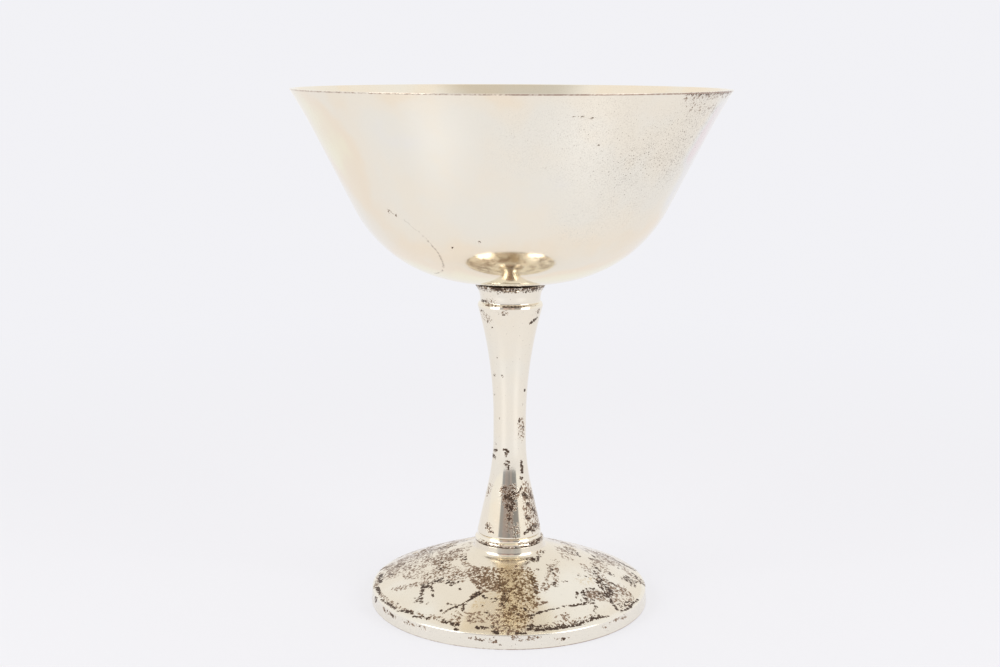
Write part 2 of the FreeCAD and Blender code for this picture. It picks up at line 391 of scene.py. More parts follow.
plateLook = {
    "filmScale": 0.06,
    "filmSwing": 0.7,
    "filmColours": [(0.0, (0.94, 0.885, 0.68)), (0.3, (0.925, 0.815, 0.65)),
                    (0.48, (0.905, 0.84, 0.715)), (0.65, (0.885, 0.845, 0.745)),
                    (0.83, (0.86, 0.835, 0.785)), (1.0, (0.885, 0.77, 0.745))],
    "stainScale": 0.35,
    "stainEdge": (0.3, 0.95),
    "stainShare": 0.6,
    "stainColour": (0.66, 0.50, 0.27),
    "liveliness": 3.0,    # how soon the noise takes hold where a layer is painted
    "mottleScale": 1.7,
    "mottleSwing": 4.2,
    "broadSwing": 1.3,
    "veinScale": 1.0,
    "veinGain": 9.0,
    "veinSwing": -0.5,
    "brownEdge": (0.5, 0.58),
    "brownShare": 0.93,
    "greyBrown": (0.25, 0.155, 0.095),
    "goldBrown": (0.17, 0.092, 0.036),
    "deepEdge": (0.95, 1.3),
    "deepShare": 0.7,
    "umber": (0.05, 0.03, 0.02),
    "markScale": 2.2,
    "markSwing": 4.8,
    "markBroadSwing": 1.2,
    "markCore": 0.86,
    "markFringe": (0.4, 0.5),
    "markEdge": (0.54, 0.66),
    "markShare": 0.93,
    "pitScale": 1.3,
    "pitReach": 0.4,
    "pitEdge": (-0.02, 0.04),
    "pitLeast": 0.02,
    "pitShare": 0.6,
    "pitColour": (0.20, 0.16, 0.13),
    "hairWidth": 0.045,
    "hairFocus": 1.5,
    "hairPatches": (0.3, 0.6, 0.45, 1.0),
    "hairShare": 0.0,
    "scratchPlane": None,
    "scratchWidth": (0.03, 0.12),
    "scratchShare": 0.8,
    "scratchBreaks": (0.42, 0.62),
    "scratchColour": (0.30, 0.22, 0.16),
    "rimLine": None,
    "rimSwing": 1.6,
    "rimBreaks": (0.2, 0.9),
    "rimColour": (0.42, 0.30, 0.24),
    "polish": 0.08,
    "smudge": 0.07,
    "smudgeScale": 0.15,
    "stainDulls": 0.16,
    # how much tarnish, marks, pits and the painted shade at the joints dull the plate and hide its metal
    "dirtAndShadeDulls": 0.3,
    "dirtAndShadeHidesMetal": -0.6,
    "dirtAndShadeOfBrown": 0.6,
    "dirtAndShadeOfPits": 0.5,
    "specular": 0.25,
    "ripple": 0.1,
    "reliefDepth": 0.012,
}


def silverPlate(name, changes):
    look = {**plateLook, **changes}
    material, tree, shader = startMaterial(name)
    place = inMillimetres(tree)

    def swing(value, amount):
        return calc(tree, "MULTIPLY", calc(tree, "SUBTRACT", value, 0.5), amount)

    film = swing(grain(tree, place, look["filmScale"], 3), look["filmSwing"])
    film = calc(tree, "ADD", painted(tree, "film"), film)
    colour = ramp(tree, film, look["filmColours"], smooth=True)

    broad = grain(tree, place, look["stainScale"], 4, 0.6)
    mottle = grain(tree, place, look["mottleScale"], 4, 0.55, 0.3)
    vein = offBy(tree, grain(tree, place, look["veinScale"], 5, 0.65, 0.8), 0.5)
    vein = calc(tree, "MULTIPLY", vein, look["veinGain"], clamp=True)
    ragged = calc(tree, "ADD", swing(mottle, look["mottleSwing"]), swing(broad, look["broadSwing"]))
    ragged = calc(tree, "ADD", ragged, swing(vein, look["veinSwing"]))
    splinter = swing(grain(tree, place, look["markScale"], 4, 0.6, 0.5), look["markSwing"])
    splinter = calc(tree, "ADD", splinter, swing(broad, look["markBroadSwing"]))

    def lively(layer, noise, core=1.0):
        # Noise breaks up a painted layer, and does nothing where nothing is painted.
        amount = calc(tree, "MULTIPLY", painted(tree, layer), core)
        hold = calc(tree, "MULTIPLY", amount, look["liveliness"], clamp=True)
        return calc(tree, "MULTIPLY_ADD", noise, hold, amount)

    def cover(under, share, most, over):
        return blend(tree, calc(tree, "MULTIPLY", share, most), under, over)

    stain = step(tree, lively("stain", ragged), *look["stainEdge"])
    level = lively("tarnishAndShade", ragged)
    deep = step(tree, level, *look["deepEdge"])
    dark = lively("marks", splinter, look["markCore"])
    mark = step(tree, dark, *look["markEdge"])
    brown = calc(tree, "MAXIMUM", step(tree, level, *look["brownEdge"]),
                 step(tree, dark, *look["markFringe"]))
    tone = blend(tree, painted(tree, "stain"), look["greyBrown"], look["goldBrown"])
    colour = cover(colour, stain, look["stainShare"], look["stainColour"])
    colour = cover(colour, brown, look["brownShare"], tone)
    colour = cover(colour, deep, look["deepShare"], look["umber"])
    colour = cover(colour, mark, look["markShare"], look["umber"])

    # Pits: tiny dark dots and hair lines, most where the layer is strongest
    wanted = painted(tree, "pits")
    spots = cells(tree, place, look["pitScale"])
    chance = tree.nodes.new("ShaderNodeSeparateColor")
    tree.links.new(spots.outputs["Color"], chance.inputs[0])
    reach = calc(tree, "MULTIPLY", calc(tree, "MULTIPLY", wanted, look["pitReach"]), chance.outputs[0])
    pit = step(tree, calc(tree, "SUBTRACT", reach, spots.outputs["Distance"]), *look["pitEdge"])
    pit = calc(tree, "MULTIPLY", pit, calc(tree, "GREATER_THAN", wanted, look["pitLeast"]))
    hair = offBy(tree, grain(tree, place, look["pitScale"], 3, 0.5), 0.5)
    hair = step(tree, hair, 0.0, look["hairWidth"], 1.0, 0.0)
    hair = calc(tree, "MULTIPLY", hair, calc(tree, "POWER", wanted, look["hairFocus"]))
    hair = calc(tree, "MULTIPLY", hair, step(tree, broad, *look["hairPatches"]))
    pit = calc(tree, "MAXIMUM", pit, calc(tree, "MULTIPLY", hair, look["hairShare"]))
    colour = cover(colour, pit, look["pitShare"], look["pitColour"])

    # Scratch: a thin line where the surface meets a plane, shown where its layer is painted
    if look["scratchPlane"]:
        facing, offset = look["scratchPlane"]
        away = offBy(tree, vectorCalc(tree, "DOT_PRODUCT", place, facing), offset)
        line = step(tree, away, *look["scratchWidth"], look["scratchShare"], 0.0)
        breaks = step(tree, lively("scratch", splinter), *look["scratchBreaks"])
        colour = cover(colour, line, breaks, look["scratchColour"])

    # Rim line: a thin stain along the bowl's rim or the foot's bottom edge
    if look["rimLine"]:
        height, half = look["rimLine"]
        away = offBy(tree, vectorCalc(tree, "DOT_PRODUCT", place, (0, 0, 1)), height)
        line = step(tree, away, half / 2, half, 1.0, 0.0)
        breaks = step(tree, lively("rimStain", swing(mottle, look["rimSwing"])), *look["rimBreaks"])
        colour = cover(colour, line, breaks, look["rimColour"])

    # Tarnish, marks and pits, with the painted shade laid in the joints, also dull the plate, hide its
    # metal and sink it a little.
    dirtAndShade = calc(tree, "MAXIMUM", calc(tree, "MULTIPLY", brown, look["dirtAndShadeOfBrown"]),
                calc(tree, "MAXIMUM", mark, deep))
    dirtAndShade = calc(tree, "MAXIMUM", dirtAndShade, calc(tree, "MULTIPLY", pit, look["dirtAndShadeOfPits"]))
    rough = grain(tree, place, look["smudgeScale"], 4, 0.6)
    rough = calc(tree, "MULTIPLY_ADD", rough, look["smudge"], look["polish"])
    rough = calc(tree, "MULTIPLY_ADD", stain, look["stainDulls"], rough)
    rough = calc(tree, "MULTIPLY_ADD", dirtAndShade, look["dirtAndShadeDulls"], rough)
    feed(tree, shader.inputs["Base Color"], colour)
    feed(tree, shader.inputs["Roughness"], rough)
    feed(tree, shader.inputs["Metallic"], calc(tree, "MULTIPLY_ADD", dirtAndShade, look["dirtAndShadeHidesMetal"], 1.0))
    shader.inputs["Specular IOR Level"].default_value = look["specular"]
    relief = calc(tree, "SUBTRACT", calc(tree, "MULTIPLY", mottle, look["ripple"]), dirtAndShade)
    bump(tree, shader, relief, look["reliefDepth"])
    return material


print("plate ready")


# Bowl

bowlShape = {
    "wall": 0.8,
    "bottomRadius": 82.0,
    "shoulderRadius": 31.2,
    "bottomSlope": 10.0,
    "wallSlope": 63.3,
    "lipSlope": 58.0,
    "rimRounding": 0.22,
    "rimCorner": 0.16,
    "outerSpacing": 0.5,
    "innerSpacing": 0.85,
    "rimSpacing": 0.3,
    "segments": 384,
}


def slopePoint(centre, radius, slopeDeg):
    slope = math.radians(slopeDeg)
    return (centre[0] + radius * math.sin(slope), centre[1] - radius * math.cos(slope))


def bowlSurface(inset, spacing):
    shape = bowlShape
    rimRadius, rimHeight = nodeRadius("bowl") + shape["rimCorner"], nodeTop("bowl")
    bottom = (0.0, nodeBottom("bowl") + shape["bottomRadius"])
    shoulder = slopePoint(bottom, shape["bottomRadius"] - shape["shoulderRadius"], shape["bottomSlope"])
    wallStart = slopePoint(shoulder, shape["shoulderRadius"], shape["wallSlope"])
    wallSlope, lipSlope = math.radians(shape["wallSlope"]), math.radians(shape["lipSlope"])
    # The wall's length and the lip's radius follow from the rim that they have to reach.
    reach, climb = rimRadius - wallStart[0], rimHeight - wallStart[1]
    turnAcross = math.sin(wallSlope) - math.sin(lipSlope)
    turnUp = math.cos(lipSlope) - math.cos(wallSlope)
    scale = math.cos(wallSlope) * turnUp - math.sin(wallSlope) * turnAcross
    wallLength = (reach * turnUp - climb * turnAcross) / scale
    lipRadius = (math.cos(wallSlope) * climb - math.sin(wallSlope) * reach) / scale
    wallEnd = (wallStart[0] + wallLength * math.cos(wallSlope),
               wallStart[1] + wallLength * math.sin(wallSlope))
    lip = slopePoint(wallEnd, lipRadius, shape["wallSlope"])
    inward = (-inset * math.sin(wallSlope), inset * math.cos(wallSlope))
    rimAngle = 180 - math.degrees(math.asin((rimHeight - lip[1]) / (lipRadius + inset)))
    return chain(
        arcPoints(bottom, shape["bottomRadius"] - inset, -90, -90 + shape["bottomSlope"], spacing),
        (arcPoints(shoulder, shape["shoulderRadius"] - inset, -90 + shape["bottomSlope"],
                   -90 + shape["wallSlope"], spacing), 0),
        (linePoints((wallStart[0] + inward[0], wallStart[1] + inward[1]),
                    (wallEnd[0] + inward[0], wallEnd[1] + inward[1]), spacing), 0),
        (arcPoints(lip, lipRadius + inset, 90 + shape["wallSlope"], rimAngle, spacing), 0))


def makeBowl():
    shape = bowlShape
    outside = bowlSurface(0.0, shape["outerSpacing"])
    inside = bowlSurface(shape["wall"], shape["innerSpacing"])[::-1]
    rim = linePoints(outside[-1], inside[0], shape["rimSpacing"])
    outline = chain(outside, (rim, shape["rimRounding"]), (inside, shape["rimRounding"]))
    return latheObject("bowlShell", outline, shape["segments"], closed=False)


bowl = makeBowl()
print("bowl spun")


# Collar under the bowl

topCollarShape = {
    "lipRadius": 8.3,
    "lipEdge": 0.55,
    "neckRadius": 7.22,
    "trumpetRadius": 5.5,
    "beadRadius": 1.15,
    "beadCentreRadius": 6.6,
    "beadCentreHeight": 73.2,
    "socketRadius": 5.3,
    "socketFloor": 75.3,
    "holeRadius": 2.75,
    "beadRounding": 0.12,
    "lipRounding": 0.14,
    "lipTopRounding": 0.16,
    "socketRounding": 0.1,
    "jointRounding": 0.05,
    "spacing": 0.12,
    "lipSpacing": 0.1,
    "hiddenSpacing": 0.4,
    "segments": 256,
}


def beadAngle(height):
    shape = topCollarShape
    return math.degrees(math.asin((height - shape["beadCentreHeight"]) / shape["beadRadius"]))


def makeTopCollar():
    shape = topCollarShape
    top, spigotEnd = nodeTop("top_collar"), nodeBottom("top_collar")
    joint, spigotRadius = nodeTop("stem_tube"), stemShape["spigotRadius"]
    beadCentre = (shape["beadCentreRadius"], shape["beadCentreHeight"])
    neckAngle = math.degrees(math.acos((shape["neckRadius"] - beadCentre[0]) / shape["beadRadius"]))
    bead = arcPoints(beadCentre, shape["beadRadius"], beadAngle(joint), neckAngle, shape["spacing"])
    lipBottom = (shape["lipRadius"], top - shape["lipEdge"])
    half = math.dist(bead[-1], lipBottom) / 2
    sag = shape["trumpetRadius"] - math.sqrt(shape["trumpetRadius"] ** 2 - half ** 2)
    trumpet = bowedPoints(bead[-1], lipBottom, sag, shape["spacing"])
    lipTop = (shape["lipRadius"], top)
    corners = [lipTop, (shape["socketRadius"], top), (shape["socketRadius"], shape["socketFloor"]),
               (shape["holeRadius"], shape["socketFloor"]), (shape["holeRadius"], spigotEnd),
               (spigotRadius, spigotEnd), (spigotRadius, joint), bead[0]]
    reaches = [shape["lipTopRounding"], shape["socketRounding"], 0, 0, 0, 0, 0]
    outline = chain(bead, (trumpet, shape["beadRounding"]),
                    (linePoints(lipBottom, lipTop, shape["lipSpacing"]), shape["lipRounding"]))
    for start, end, reach in zip(corners, corners[1:], reaches):
        outline = chain(outline, (linePoints(start, end, shape["hiddenSpacing"]), reach))
    outline = closeSoftly(outline, shape["jointRounding"])
    return latheObject("topCollar", outline, shape["segments"])


# Stem

stemShape = {
    "wall": 0.9,
    "waistRadius": 3.95,
    "waistLow": 41.0,
    "waistHigh": 45.0,
    "upperFlare": 104.0,
    "lowerFlare": 58.0,
    "coneTop": 28.5,
    "shoulderRounding": 0.75,
    "spigotRadius": 6.2,
    "boreRadius": 6.25,
    "seatDepth": 2.25,
    "beadRounding": 0.12,
    "jointRounding": 0.05,
    "spacing": 0.33,
    "beadSpacing": 0.1,
    "boreSpacing": 1.5,
    "seatSpacing": 0.5,
    "ledgeSpacing": 0.3,
    "baseSpacing": 0.2,
    "halvings": 40,
    "segments": 224,
}


def stemRadiusAbove(height, inset=0.0):
    radius = stemShape["upperFlare"] + inset
    rise = height - stemShape["waistHigh"]
    return stemShape["waistRadius"] + stemShape["upperFlare"] - math.sqrt(radius ** 2 - rise ** 2)


def beadMeetsStem():
    # Height where the stem's upper flare runs into the bead, found by halving.
    shape = topCollarShape
    low, high = shape["beadCentreHeight"] - shape["beadRadius"], shape["beadCentreHeight"]
    for _ in range(stemShape["halvings"]):
        height = (low + high) / 2
        lift = height - shape["beadCentreHeight"]
        bead = shape["beadCentreRadius"] + math.sqrt(shape["beadRadius"] ** 2 - lift ** 2)
        if bead < stemRadiusAbove(height):
            low = height
        else:
            high = height
    return high


def stemSurface(inset, low, high, spacing):
    shape = stemShape
    turn = math.degrees(math.asin((shape["waistLow"] - shape["coneTop"]) / shape["lowerFlare"]))
    lowerCentre = (shape["waistRadius"] + shape["lowerFlare"], shape["waistLow"])
    lower = arcPoints(lowerCentre, shape["lowerFlare"] + inset, 180 + turn, 180, spacing)
    coneRadius = lower[0][0] + (lower[0][1] - low) * math.tan(math.radians(turn))
    upperCentre = (shape["waistRadius"] + shape["upperFlare"], shape["waistHigh"])
    rise = math.degrees(math.asin((high - shape["waistHigh"]) / (shape["upperFlare"] + inset)))
    upper = arcPoints(upperCentre, shape["upperFlare"] + inset, 180, 180 - rise, spacing)
    return chain(linePoints((coneRadius, low), lower[0], spacing), (lower, 0),
                 (linePoints(lower[-1], upper[0], spacing), 0), (upper, 0))


def makeStem():
    shape = stemShape
    low, high = nodeBottom("stem_tube"), nodeTop("stem_tube")
    meeting = beadMeetsStem()
    outside = stemSurface(0.0, low, meeting, shape["spacing"])
    bead = arcPoints((topCollarShape["beadCentreRadius"], topCollarShape["beadCentreHeight"]),
                     topCollarShape["beadRadius"], beadAngle(meeting), beadAngle(high),
                     shape["beadSpacing"])
    inside = stemSurface(shape["wall"], low + shape["seatDepth"], high - shape["seatDepth"],
                         shape["boreSpacing"])[::-1]
    topCorner, lowCorner = (shape["boreRadius"], high), (shape["boreRadius"], low)
    topSeat = (shape["boreRadius"], high - shape["seatDepth"])
    lowSeat = (shape["boreRadius"], low + shape["seatDepth"])
    base = linePoints(lowCorner, outside[0], shape["baseSpacing"])
    outline = chain(
        base, (outside, shape["shoulderRounding"]), (bead, shape["beadRounding"]),
        (linePoints(bead[-1], topCorner, shape["ledgeSpacing"]), shape["jointRounding"]),
        (linePoints(topCorner, topSeat, shape["seatSpacing"]), 0),
        (linePoints(topSeat, inside[0], shape["ledgeSpacing"]), 0), (inside, 0),
        (linePoints(inside[-1], lowSeat, shape["ledgeSpacing"]), 0),
        (linePoints(lowSeat, lowCorner, shape["seatSpacing"]), 0))
    return latheObject("stemTube", outline[:-1], shape["segments"])


topCollar = makeTopCollar()
stem = makeStem()
print("stem and top collar turned")


# Ring under the stem

baseCollarShape = {
    "edge": 0.3,
    "shoulder": 0.75,
    "shoulderTurn": 50.0,
    "cove": 0.7,
    "coveDepth": 0.13,
    "rounding": 0.12,
    "holeRadius": 2.75,
    "spigotRadius": 6.2,
    "spigotLength": 2.2,
    "spacing": 0.1,
    "hiddenSpacing": 0.4,
    "segments": 256,
}


def makeBaseCollar():
    shape = baseCollarShape
    radius, low = nodeRadius("base_collar"), nodeBottom("base_collar")
    seat = nodeBottom("stem_tube")
    centre = (radius - shape["shoulder"], low + shape["edge"])
    shoulder = arcPoints(centre, shape["shoulder"], 0, shape["shoulderTurn"], shape["spacing"])
    coveTop = (shoulder[-1][0] - shape["cove"] * math.sin(math.radians(shape["shoulderTurn"])), seat)
    cove = bowedPoints(shoulder[-1], coveTop, shape["coveDepth"], shape["spacing"])
    spigotTop = seat + shape["spigotLength"]
    corners = [coveTop, (shape["spigotRadius"], seat), (shape["spigotRadius"], spigotTop),
               (shape["holeRadius"], spigotTop), (shape["holeRadius"], low), (radius, low)]
    outline = chain(shoulder, (cove, shape["rounding"]))
    for start, end in zip(corners, corners[1:]):
        outline = chain(outline, (linePoints(start, end, shape["hiddenSpacing"]), 0))
    outline = chain(outline, (linePoints(corners[-1], shoulder[0], shape["spacing"]), shape["rounding"]))
    return latheObject("baseCollar", outline[:-1], shape["segments"])


# Foot

footShape = {
    "wall": 0.8,
    "creaseInset": 0.25,
    "creaseHeight": 3.4,
    "domeRadius": 240.0,
    "hubTopRadius": 8.35,
    "hubRootRadius": 8.7,
    "hubRootHeight": 13.0,
    "hubFillet": 0.75,
    "hemWidth": 2.0,
    "holeRadius": 2.75,
    "domeEnd": 33.6,    # the wear follows the dome out to here
    "hubMargin": 0.5,    # and the hub from this far below its root
    "creaseRounding": 0.22,
    "bottomRounding": 0.25,
    "hubRounding": 0.1,
    "hubInnerRounding": 0.25,
    "creaseInnerRounding": 0.5,
    "foldRounding": 0.3,
    "hemRounding": 0.15,
    "domeSpacing": 0.34,
    "underSpacing": 0.9,
    "skirtSpacing": 0.3,
    "hubSpacing": 0.15,
    "hubTopSpacing": 0.8,
    "hiddenSpacing": 0.4,
    "bottomSpacing": 0.5,
    "segments": 640,
}


def domeHeight(radius, inset=0.0):
    shape = footShape
    outer = (nodeRadius("foot_shell") - shape["creaseInset"], shape["creaseHeight"])
    inner = (shape["hubRootRadius"], shape["hubRootHeight"])
    half = math.dist(outer, inner) / 2
    depth = math.sqrt(shape["domeRadius"] ** 2 - half ** 2)
    along = ((inner[0] - outer[0]) / (2 * half), (inner[1] - outer[1]) / (2 * half))
    centre = ((outer[0] + inner[0]) / 2 - along[1] * depth, (outer[1] + inner[1]) / 2 + along[0] * depth)
    return centre[1] + math.sqrt((shape["domeRadius"] - inset) ** 2 - (radius - centre[0]) ** 2)


def domePoints(inset, start, end, spacing):
    steps = math.ceil(abs(end - start) / spacing)
    radii = [start + (end - start) * i / steps for i in range(steps + 1)]
    return [(r, domeHeight(r, inset)) for r in radii]


def makeFoot():
    shape = footShape
    radius, top = nodeRadius("foot_shell"), nodeTop("foot_shell")
    wall, ceiling = shape["wall"], top - shape["wall"]
    crease = radius - shape["creaseInset"]
    dome = domePoints(0.0, crease, shape["hubRootRadius"], shape["domeSpacing"])
    under = domePoints(wall, shape["hubRootRadius"] - wall, crease - wall, shape["underSpacing"])
    hubTop = (shape["hubTopRadius"], top)
    hole = shape["holeRadius"]
    hubInner = (shape["hubTopRadius"] - wall, ceiling)
    hemInner = radius - shape["hemWidth"]
    fold = (crease - wall, wall)
    outline = chain(
        linePoints((radius, 0.0), dome[0], shape["skirtSpacing"]),
        (dome, shape["creaseRounding"]),
        (linePoints(dome[-1], hubTop, shape["hubSpacing"]), shape["hubFillet"]),
        (linePoints(hubTop, (hole, top), shape["hubTopSpacing"]), shape["hubRounding"]),
        (linePoints((hole, top), (hole, ceiling), shape["hiddenSpacing"]), 0),
        (linePoints((hole, ceiling), hubInner, shape["hubTopSpacing"]), 0),
        (linePoints(hubInner, under[0], shape["hiddenSpacing"]), shape["hubInnerRounding"]),
        (under, shape["foldRounding"]),
        (linePoints(under[-1], fold, shape["bottomSpacing"]), shape["creaseInnerRounding"]),
        (linePoints(fold, (hemInner, wall), shape["hiddenSpacing"]), shape["foldRounding"]),
        (linePoints((hemInner, wall), (hemInner, 0.0), shape["skirtSpacing"]), shape["hemRounding"]),
        (linePoints((hemInner, 0.0), (radius, 0.0), shape["bottomSpacing"]), shape["hemRounding"]))
    outline = closeSoftly(outline, shape["bottomRounding"])
    return latheObject("footShell", outline, shape["segments"])


baseCollar = makeBaseCollar()
foot = makeFoot()
print("ring and foot made")


# What holds the stack together, out of sight

boltShape = {
    "stud": 2.5,
    "studEnd": 0.5,
    "pitch": 0.8,
    "pointsInPitch": 8,
    "threadDepth": 0.44,
    "threadSlope": 1.25,
    "threadCrest": 0.12,
    "bossRadius": 5.2,
    "bossChamfer": 0.35,
    "bossEdge": 0.1,
    "seatSteps": 6,
    "washerHole": 2.75,
    "washerEdge": 0.14,
    "springInner": 2.6,
    "springOuter": 4.4,
    "springGap": 0.6,
    "springLean": 25.0,
    "springEdge": 0.15,
    "springSteps": 90,
    "acrossFlats": 8.0,
    "nutFace": 0.97,    # share of the flats that the chamfer leaves on each end
    "nutChamfer": 30.0,
    "countersink": 0.35,
    "sharpFrom": 32.0,    # edges that turn by more than this stay sharp
    "chamferSpacing": 0.08,
    "edgeSpacing": 0.1,
    "nutSpacing": 0.2,
    "bossSpacing": 0.3,
    "ringSpacing": 0.4,
    "studSegments": 48,
    "bossSegments": 96,
    "washerSegments": 128,
    "nutSegments": 180,
}


def polar(points):
    return np.hypot(points[:, 0], points[:, 1]), np.arctan2(points[:, 1], points[:, 0])


def setRadius(points, radius):
    now = np.maximum(np.hypot(points[:, 0], points[:, 1]), onAxis)
    points[:, 0] *= radius / now
    points[:, 1] *= radius / now


def makeStud():
    shape = boltShape
    low, high, radius = nodeBottom("tie_stud"), nodeTop("tie_stud"), shape["stud"]
    end = radius - shape["studEnd"]
    bodyLow, bodyHigh = (radius, low + shape["studEnd"]), (radius, high - shape["studEnd"])
    side = chain(linePoints((end, low), bodyLow, shape["edgeSpacing"]),
                 (linePoints(bodyLow, bodyHigh, shape["pitch"] / shape["pointsInPitch"]), 0),
                 (linePoints(bodyHigh, (end, high), shape["edgeSpacing"]), 0))
    outline = [(0.0, low), (end / 2, low)] + side + [(end / 2, high), (0.0, high)]
    stud = latheObject("tieStud", outline, shape["studSegments"], closed=False)
    points = meshPoints(stud)
    reach, turn = polar(points)
    # The thread: a rounded V that climbs one pitch for each turn.
    phase = (points[:, 2] / shape["pitch"] - turn / (2 * math.pi)) % 1
    valley = 1 - np.abs(2 * phase - 1)
    groove = np.clip(shape["threadSlope"] * valley - shape["threadCrest"], 0, 1)
    cut = np.minimum(reach, radius - shape["threadDepth"] * groove)
    flatEnd = reach < end * 3 / 4
    setRadius(points, np.where(flatEnd, reach, cut))
    movePoints(stud, points)
    return stud


def makeBoss():
    shape = boltShape
    low = nodeBottom("bowl_boss")
    bottom = (0.0, nodeBottom("bowl") + bowlShape["bottomRadius"])
    seat = []
    for i in range(shape["seatSteps"] + 1):
        across = shape["stud"] + (shape["bossRadius"] - shape["stud"]) * i / shape["seatSteps"]
        seat.append((across, bottom[1] - math.sqrt(bowlShape["bottomRadius"] ** 2 - across ** 2)))
    inner, outer, spacing = (shape["stud"], low), (shape["bossRadius"], low), shape["bossSpacing"]
    outline = chain(
        linePoints(inner, outer, spacing),
        (linePoints(outer, seat[-1], spacing), shape["bossChamfer"]),
        (seat[::-1], shape["bossEdge"]),
        (linePoints(seat[0], inner, spacing), 0))
    return latheObject("bowlBoss", outline[:-1], shape["bossSegments"])


def ringOutline(inner, outer, low, high, edge):
    corners = [(inner, low), (outer, low), (outer, high), (inner, high), (inner, low)]
    outline = linePoints(corners[0], corners[1], boltShape["ringSpacing"])
    for start, end in zip(corners[1:], corners[2:]):
        outline = chain(outline, (linePoints(start, end, boltShape["ringSpacing"]), edge))
    return closeSoftly(outline, edge)


def makeWasher():
    shape = boltShape
    outline = ringOutline(shape["washerHole"], nodeRadius("clamp_washer"), nodeBottom("clamp_washer"),
                          nodeTop("clamp_washer"), shape["washerEdge"])
    return latheObject("clampWasher", outline, shape["washerSegments"])


def makeSpringWasher():
    shape = boltShape
    low, high = nodeBottom("spring_washer"), nodeTop("spring_washer")
    section = ringOutline(shape["springInner"], shape["springOuter"], low, high, shape["springEdge"])
    turns, half = shape["springSteps"], shape["springGap"] / 2
    slope = math.tan(math.radians(shape["springLean"]))
    vertices = []
    for t in range(turns + 1):
        for radius, height in section:
            # The gap lies towards +X and its two cut faces lean.
            lean = slope * (height - (low + high) / 2)
            begin = math.asin((half - lean) / radius)
            finish = 2 * math.pi + math.asin((-half - lean) / radius)
            angle = begin + (finish - begin) * t / turns
            vertices.append((radius * mm * math.cos(angle), radius * mm * math.sin(angle), height * mm))
    count = len(section)
    faces = []
    for t in range(turns):
        for i in range(count):
            j = (i + 1) % count
            faces.append((t * count + i, t * count + j, (t + 1) * count + j, (t + 1) * count + i))
    faces.append(tuple(range(count)))
    faces.append(tuple(turns * count + i for i in range(count)))
    return meshObject("springWasher", vertices, faces)


def makeNut():
    shape = boltShape
    low, high = nodeBottom("clamp_nut"), nodeTop("clamp_nut")
    flat, corner = shape["acrossFlats"] / 2, shape["acrossFlats"] / math.sqrt(3)
    face = flat * shape["nutFace"]
    drop = (corner - face) * math.tan(math.radians(shape["nutChamfer"]))
    sink, hole = shape["countersink"], shape["stud"]
    flank, chamfer, rim = shape["nutSpacing"], shape["chamferSpacing"], shape["edgeSpacing"]
    corners = [(hole + sink, low), (face, low), (corner, low + drop), (corner, high - drop),
               (face, high), (hole + sink, high), (hole, high - sink), (hole, low + sink),
               (hole + sink, low)]
    spacings = [flank, chamfer, flank, chamfer, flank, rim, flank, rim]
    outline = corners[:1]
    for start, end, spacing in zip(corners, corners[1:], spacings):
        outline = chain(outline, (linePoints(start, end, spacing), 0))
    nut = latheObject("clampNut", outline[:-1], shape["nutSegments"])
    points = meshPoints(nut)
    reach, turn = polar(points)
    sixth = math.pi / 3
    hexagon = flat / np.cos(turn % sixth - sixth / 2)
    setRadius(points, np.minimum(reach, hexagon))
    movePoints(nut, points)
    return nut


stud = makeStud()
boss = makeBoss()
washer = makeWasher()
springWasher = makeSpringWasher()
nut = makeNut()
for piece in (stud, springWasher, nut):
    piece.data.set_sharp_from_angle(angle=math.radians(boltShape["sharpFrom"]))
print("hidden fastenings made")


# Wear, and painted shade at the joints between pieces, laid on one by one. A stroke is (strength, half
# width, softness, path). On the dome a place is (right, back) seen from above, on the two collars it is
# (degrees round from the front, radius, height), and elsewhere (degrees round from the front, height).

def onDome(right, back):
    return (right, back, domeHeight(math.hypot(right, back)))


def onSkirt(azimuth, height):
    return aroundAxis(azimuth, nodeRadius("foot_shell"), height)


def onStem(azimuth, height):
    shape = stemShape
    if height > shape["waistHigh"]:
        return aroundAxis(azimuth, stemRadiusAbove(height), height)
    drop = max(0.0, shape["waistLow"] - max(height, shape["coneTop"]))
    level = math.sqrt(shape["lowerFlare"] ** 2 - drop ** 2)
    cone = max(0.0, shape["coneTop"] - height) * drop / level
    return aroundAxis(azimuth, shape["waistRadius"] + shape["lowerFlare"] - level + cone, height)


bowlRadii, bowlHeights = zip(*bowlSurface(0.0, bowlShape["outerSpacing"]))


def onBowl(azimuth, height):
    return aroundAxis(azimuth, float(np.interp(height, bowlHeights, bowlRadii)), height)


def ringOf(start, end, gap, *place):
    # Places at even angles round the axis
    return [(angle, *place) for angle in range(start, end + 1, gap)]


domeStain = [
    (1.0, 3.6, 0.4, [(3.2, -16), (3.0, -20), (3.2, -24)]),
    (0.95, 3.4, 0.4, [(1.8, -24), (1.8, -29)]),
    (0.8, 2.2, 0.5, [(-0.6, -14), (-0.6, -18), (-0.4, -23)]),
    (0.75, 1.0, 0.5, [(5.7, -8.8)]),
    (0.35, 2.6, 0.8, [(-16.5, -4), (-16, -8)]),
    (0.3, 3.2, 0.8, [(18, -12), (22, -9)]),
    (0.3, 2.5, 0.8, [(-7, -24), (-5, -22)]),
    (0.45, 2.8, 0.9, [(-5, -14.5), (-4, -18)]),
]

footFilm = [
    (0.72, 2.1, 0.3, ringOf(-180, 180, 5, 1.8)),
]
domeFilm = [
    (0.62, 5.0, 0.9, [(12, -20), (22, -10)]),
    (0.6, 4.0, 0.9, [(10, -29), (16, -26)]),
    (0.6, 4.0, 0.9, [(-20, -22), (-26, -10)]),
]

